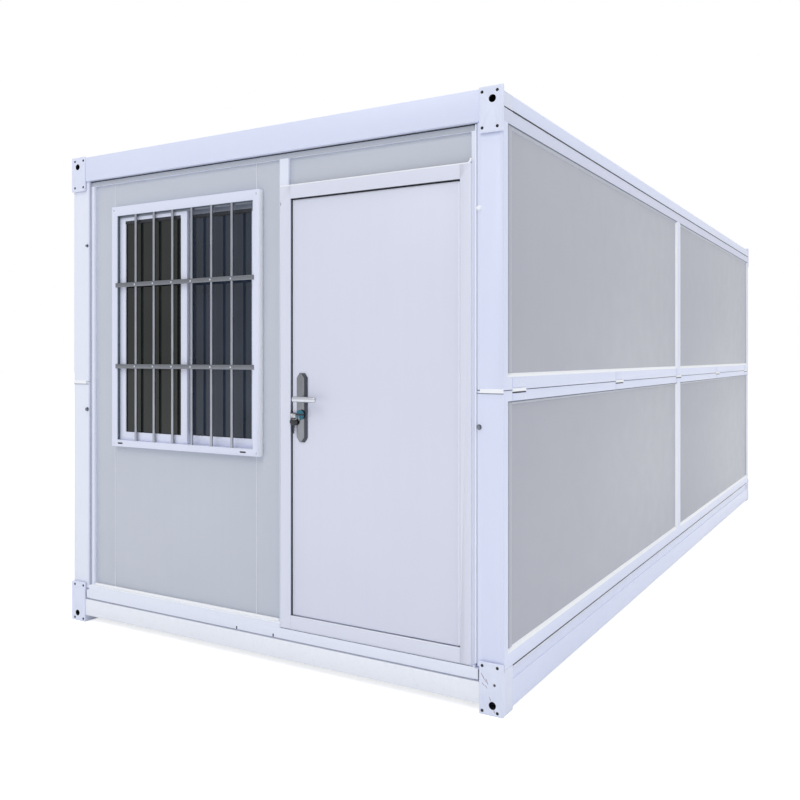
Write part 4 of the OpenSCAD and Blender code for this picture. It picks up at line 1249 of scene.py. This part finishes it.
# A black band across the fob: the painted shadow of the key's bow.
fob_shadow_band = soft_boxes(key_plastic, 1, slot_box(spindle_x, fob_z + 1 * MM, 44, 7, -6.6, 0.6))
bow = soft_boxes(nickel, 0.8, slot_box(spindle_x, cylinder_z, 3, 22, -10, 4))
tag_x = plates.x0 - 13 * MM
tag = soft_boxes(tag_plastic, 1.2, slot_box(tag_x, cylinder_z + 8 * MM, 25, 18, 1, 4))
tag_band = soft_boxes(key_plastic, 1, slot_box(tag_x, cylinder_z + 19 * MM, 27, 5, 0, 5))
head_outline = [
    (plates.x0 - 8 * MM + 22 * math.cos(a) * MM, cylinder_z - 20 * MM + 17 * math.sin(a) * MM)
    for a in [math.pi / 6 * (i + 0.5) for i in range(12)]
]
key_head = dress(eased(prism(head_outline, depths(-2, 4)), 1.4 * MM), key_plastic)
# The blade's outline, in millimetres from its upper end: to the side, and down
BLADE = ((-5, 0), (-5, 30), (0, 37), (4, 33), (3, 27), (5, 22), (3, 16), (5, 10), (5, 0))
blade_outline = [
    (plates.x0 - 9 * MM + across * MM, cylinder_z - 36 * MM - down * MM) for across, down in BLADE
]
blade = dress(eased(prism(blade_outline, depths(0, 2.4)), 0.4 * MM), dark_steel_and_painted_reflection)
ring_centre = Vector((plates.x0 - 2 * MM, depth(-3), cylinder_z + 2 * MM))
ring_line = [
    ring_centre + Vector((16 * math.cos(a), 2 * math.sin(2 * a), 12 * math.sin(a))) * MM
    for a in [2 * math.pi * i / 24 for i in range(24)]
]
ring = bead([ring_line], True, 2.2, nickel, corner=0)
keep("keys_in_the_lock", joined(bow, key_head, blade, ring), "door", "lock_metal")
keep("key_fob", joined(fob, fob_shadow_band), "door", "lock_metal")
keep("key_tag", joined(tag, tag_band), "door", "lock_metal")


# ---- Roof sheet and floor ----

roof_mesh = dress(eased(node_mesh("roof_panel"), 2 * MM), roof_sheet)
keep("roof_sheet", roof_mesh, "shell", "roof_sheet", "roof_panel")
rib_count = int((roof_panel.y1 - roof_panel.y0) / RIB_PITCH)
first_rib = roof_panel.middle.y - (rib_count - 1) / 2 * RIB_PITCH
rib_section = (
    (-RIB_FOOT / 2, -0.5 * MM), (RIB_FOOT / 2, -0.5 * MM),
    (RIB_TOP / 2, RIB_RISE), (-RIB_TOP / 2, RIB_RISE),
)
rib = skinned(
    [
        [(x, first_rib + y, roof_panel.z1 + z) for y, z in rib_section]
        for x in (roof_panel.x0 + 4 * MM, roof_panel.x1 - 4 * MM)
    ]
)
ribs = grown(rib, row_tree(roof_sheet), {"Number": rib_count, "Pitch": RIB_PITCH})
keep("roof_sheet_ribs", ribs, "shell", "roof_sheet")

dress(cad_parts["floor_deck"].data, board)
dress(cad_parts["floor_joists"].data, galvanised)


# ---- Studio ----

def seen_directly(add):
    """1 for a ray from the camera, or one mirrored by or passed through the object."""
    kinds = add("LightPath", give=None).outputs
    passing = {0: kinds["Is Glossy Ray"], 1: kinds["Is Transmission Ray"]}
    passed = add("Math", passing, operation="MAXIMUM")
    return add("Math", {0: kinds["Is Camera Ray"], 1: passed}, operation="MAXIMUM")


def floor_material(name, lift):
    """A plain pale floor. It is lifted to white where it is seen, and keeps the shadow."""
    material, add, place = new_material(
        name, Metallic=0.0, Roughness=0.9, Specular_IOR_Level=0.1, Emission_Color=(1, 1, 1, 1)
    )
    grain = add("TexNoise", {"Vector": place, "Scale": 30})
    tone = mottled(add, grain, "#f4f4f4", "#f2f2f2", 0, 1)
    glow = add("Math", {0: seen_directly(add), 1: lift}, operation="MULTIPLY")
    return wired(material, Base_Color=tone, Emission_Strength=glow)


shape = bmesh.new()
bmesh.ops.create_grid(shape, x_segments=1, y_segments=1, size=60)
floor = linked("studio_floor", mesh_of(shape, "floor", [floor_material("studio_floor", 0.6)]))

world = bpy.data.worlds.new("studio")
bpy.context.scene.world = world
world.use_nodes = True
world.node_tree.nodes.clear()
add = partial(add_node, world.node_tree)
direction = add("TexCoord", give="Generated")
upwards = add("SeparateXYZ", {"Vector": direction}, "Z")
brightness = add("MapRange", {"Value": upwards, "To Min": 0.44, "To Max": 1.1})
studio_light = add("Background", {"Color": (1, 1, 1, 1), "Strength": brightness})
backdrop = add("Background", {"Color": (1, 1, 1, 1), "Strength": 1.0})
chosen = add("MixShader", {0: seen_directly(add), 1: studio_light, 2: backdrop})
add("OutputWorld", {"Surface": chosen}, None)


def soft_lamp(name, place, target, size, watts):
    """A square soft box that faces a point."""
    lamp = bpy.data.lights.new(name, "AREA")
    lamp.energy = watts
    lamp.size = size
    holder = linked(name, lamp)
    holder.location = place
    holder.rotation_euler = (Vector(target) - Vector(place)).to_track_quat("-Z", "Y").to_euler()


soft_lamp("front_soft_box", (-1.0, -10.5, 8.5), (0, -2.9, 0.8), 5.0, 190)
soft_lamp("side_soft_box", (10.5, -2.0, 8.5), (1.25, -0.5, 1.2), 5.0, 150)

lens = bpy.data.cameras.new("camera")
lens.sensor_width = 36
lens.lens = 38.49
lens.shift_x = -0.0130
lens.shift_y = -0.0543
lens.clip_end = 200
camera = linked("camera", lens)
camera.location = (2.600, -5.953, 1.397)
camera.rotation_euler = (math.radians(90), 0, math.radians(30.22))
bpy.context.scene.camera = camera
bpy.context.scene.view_settings.view_transform = "Standard"
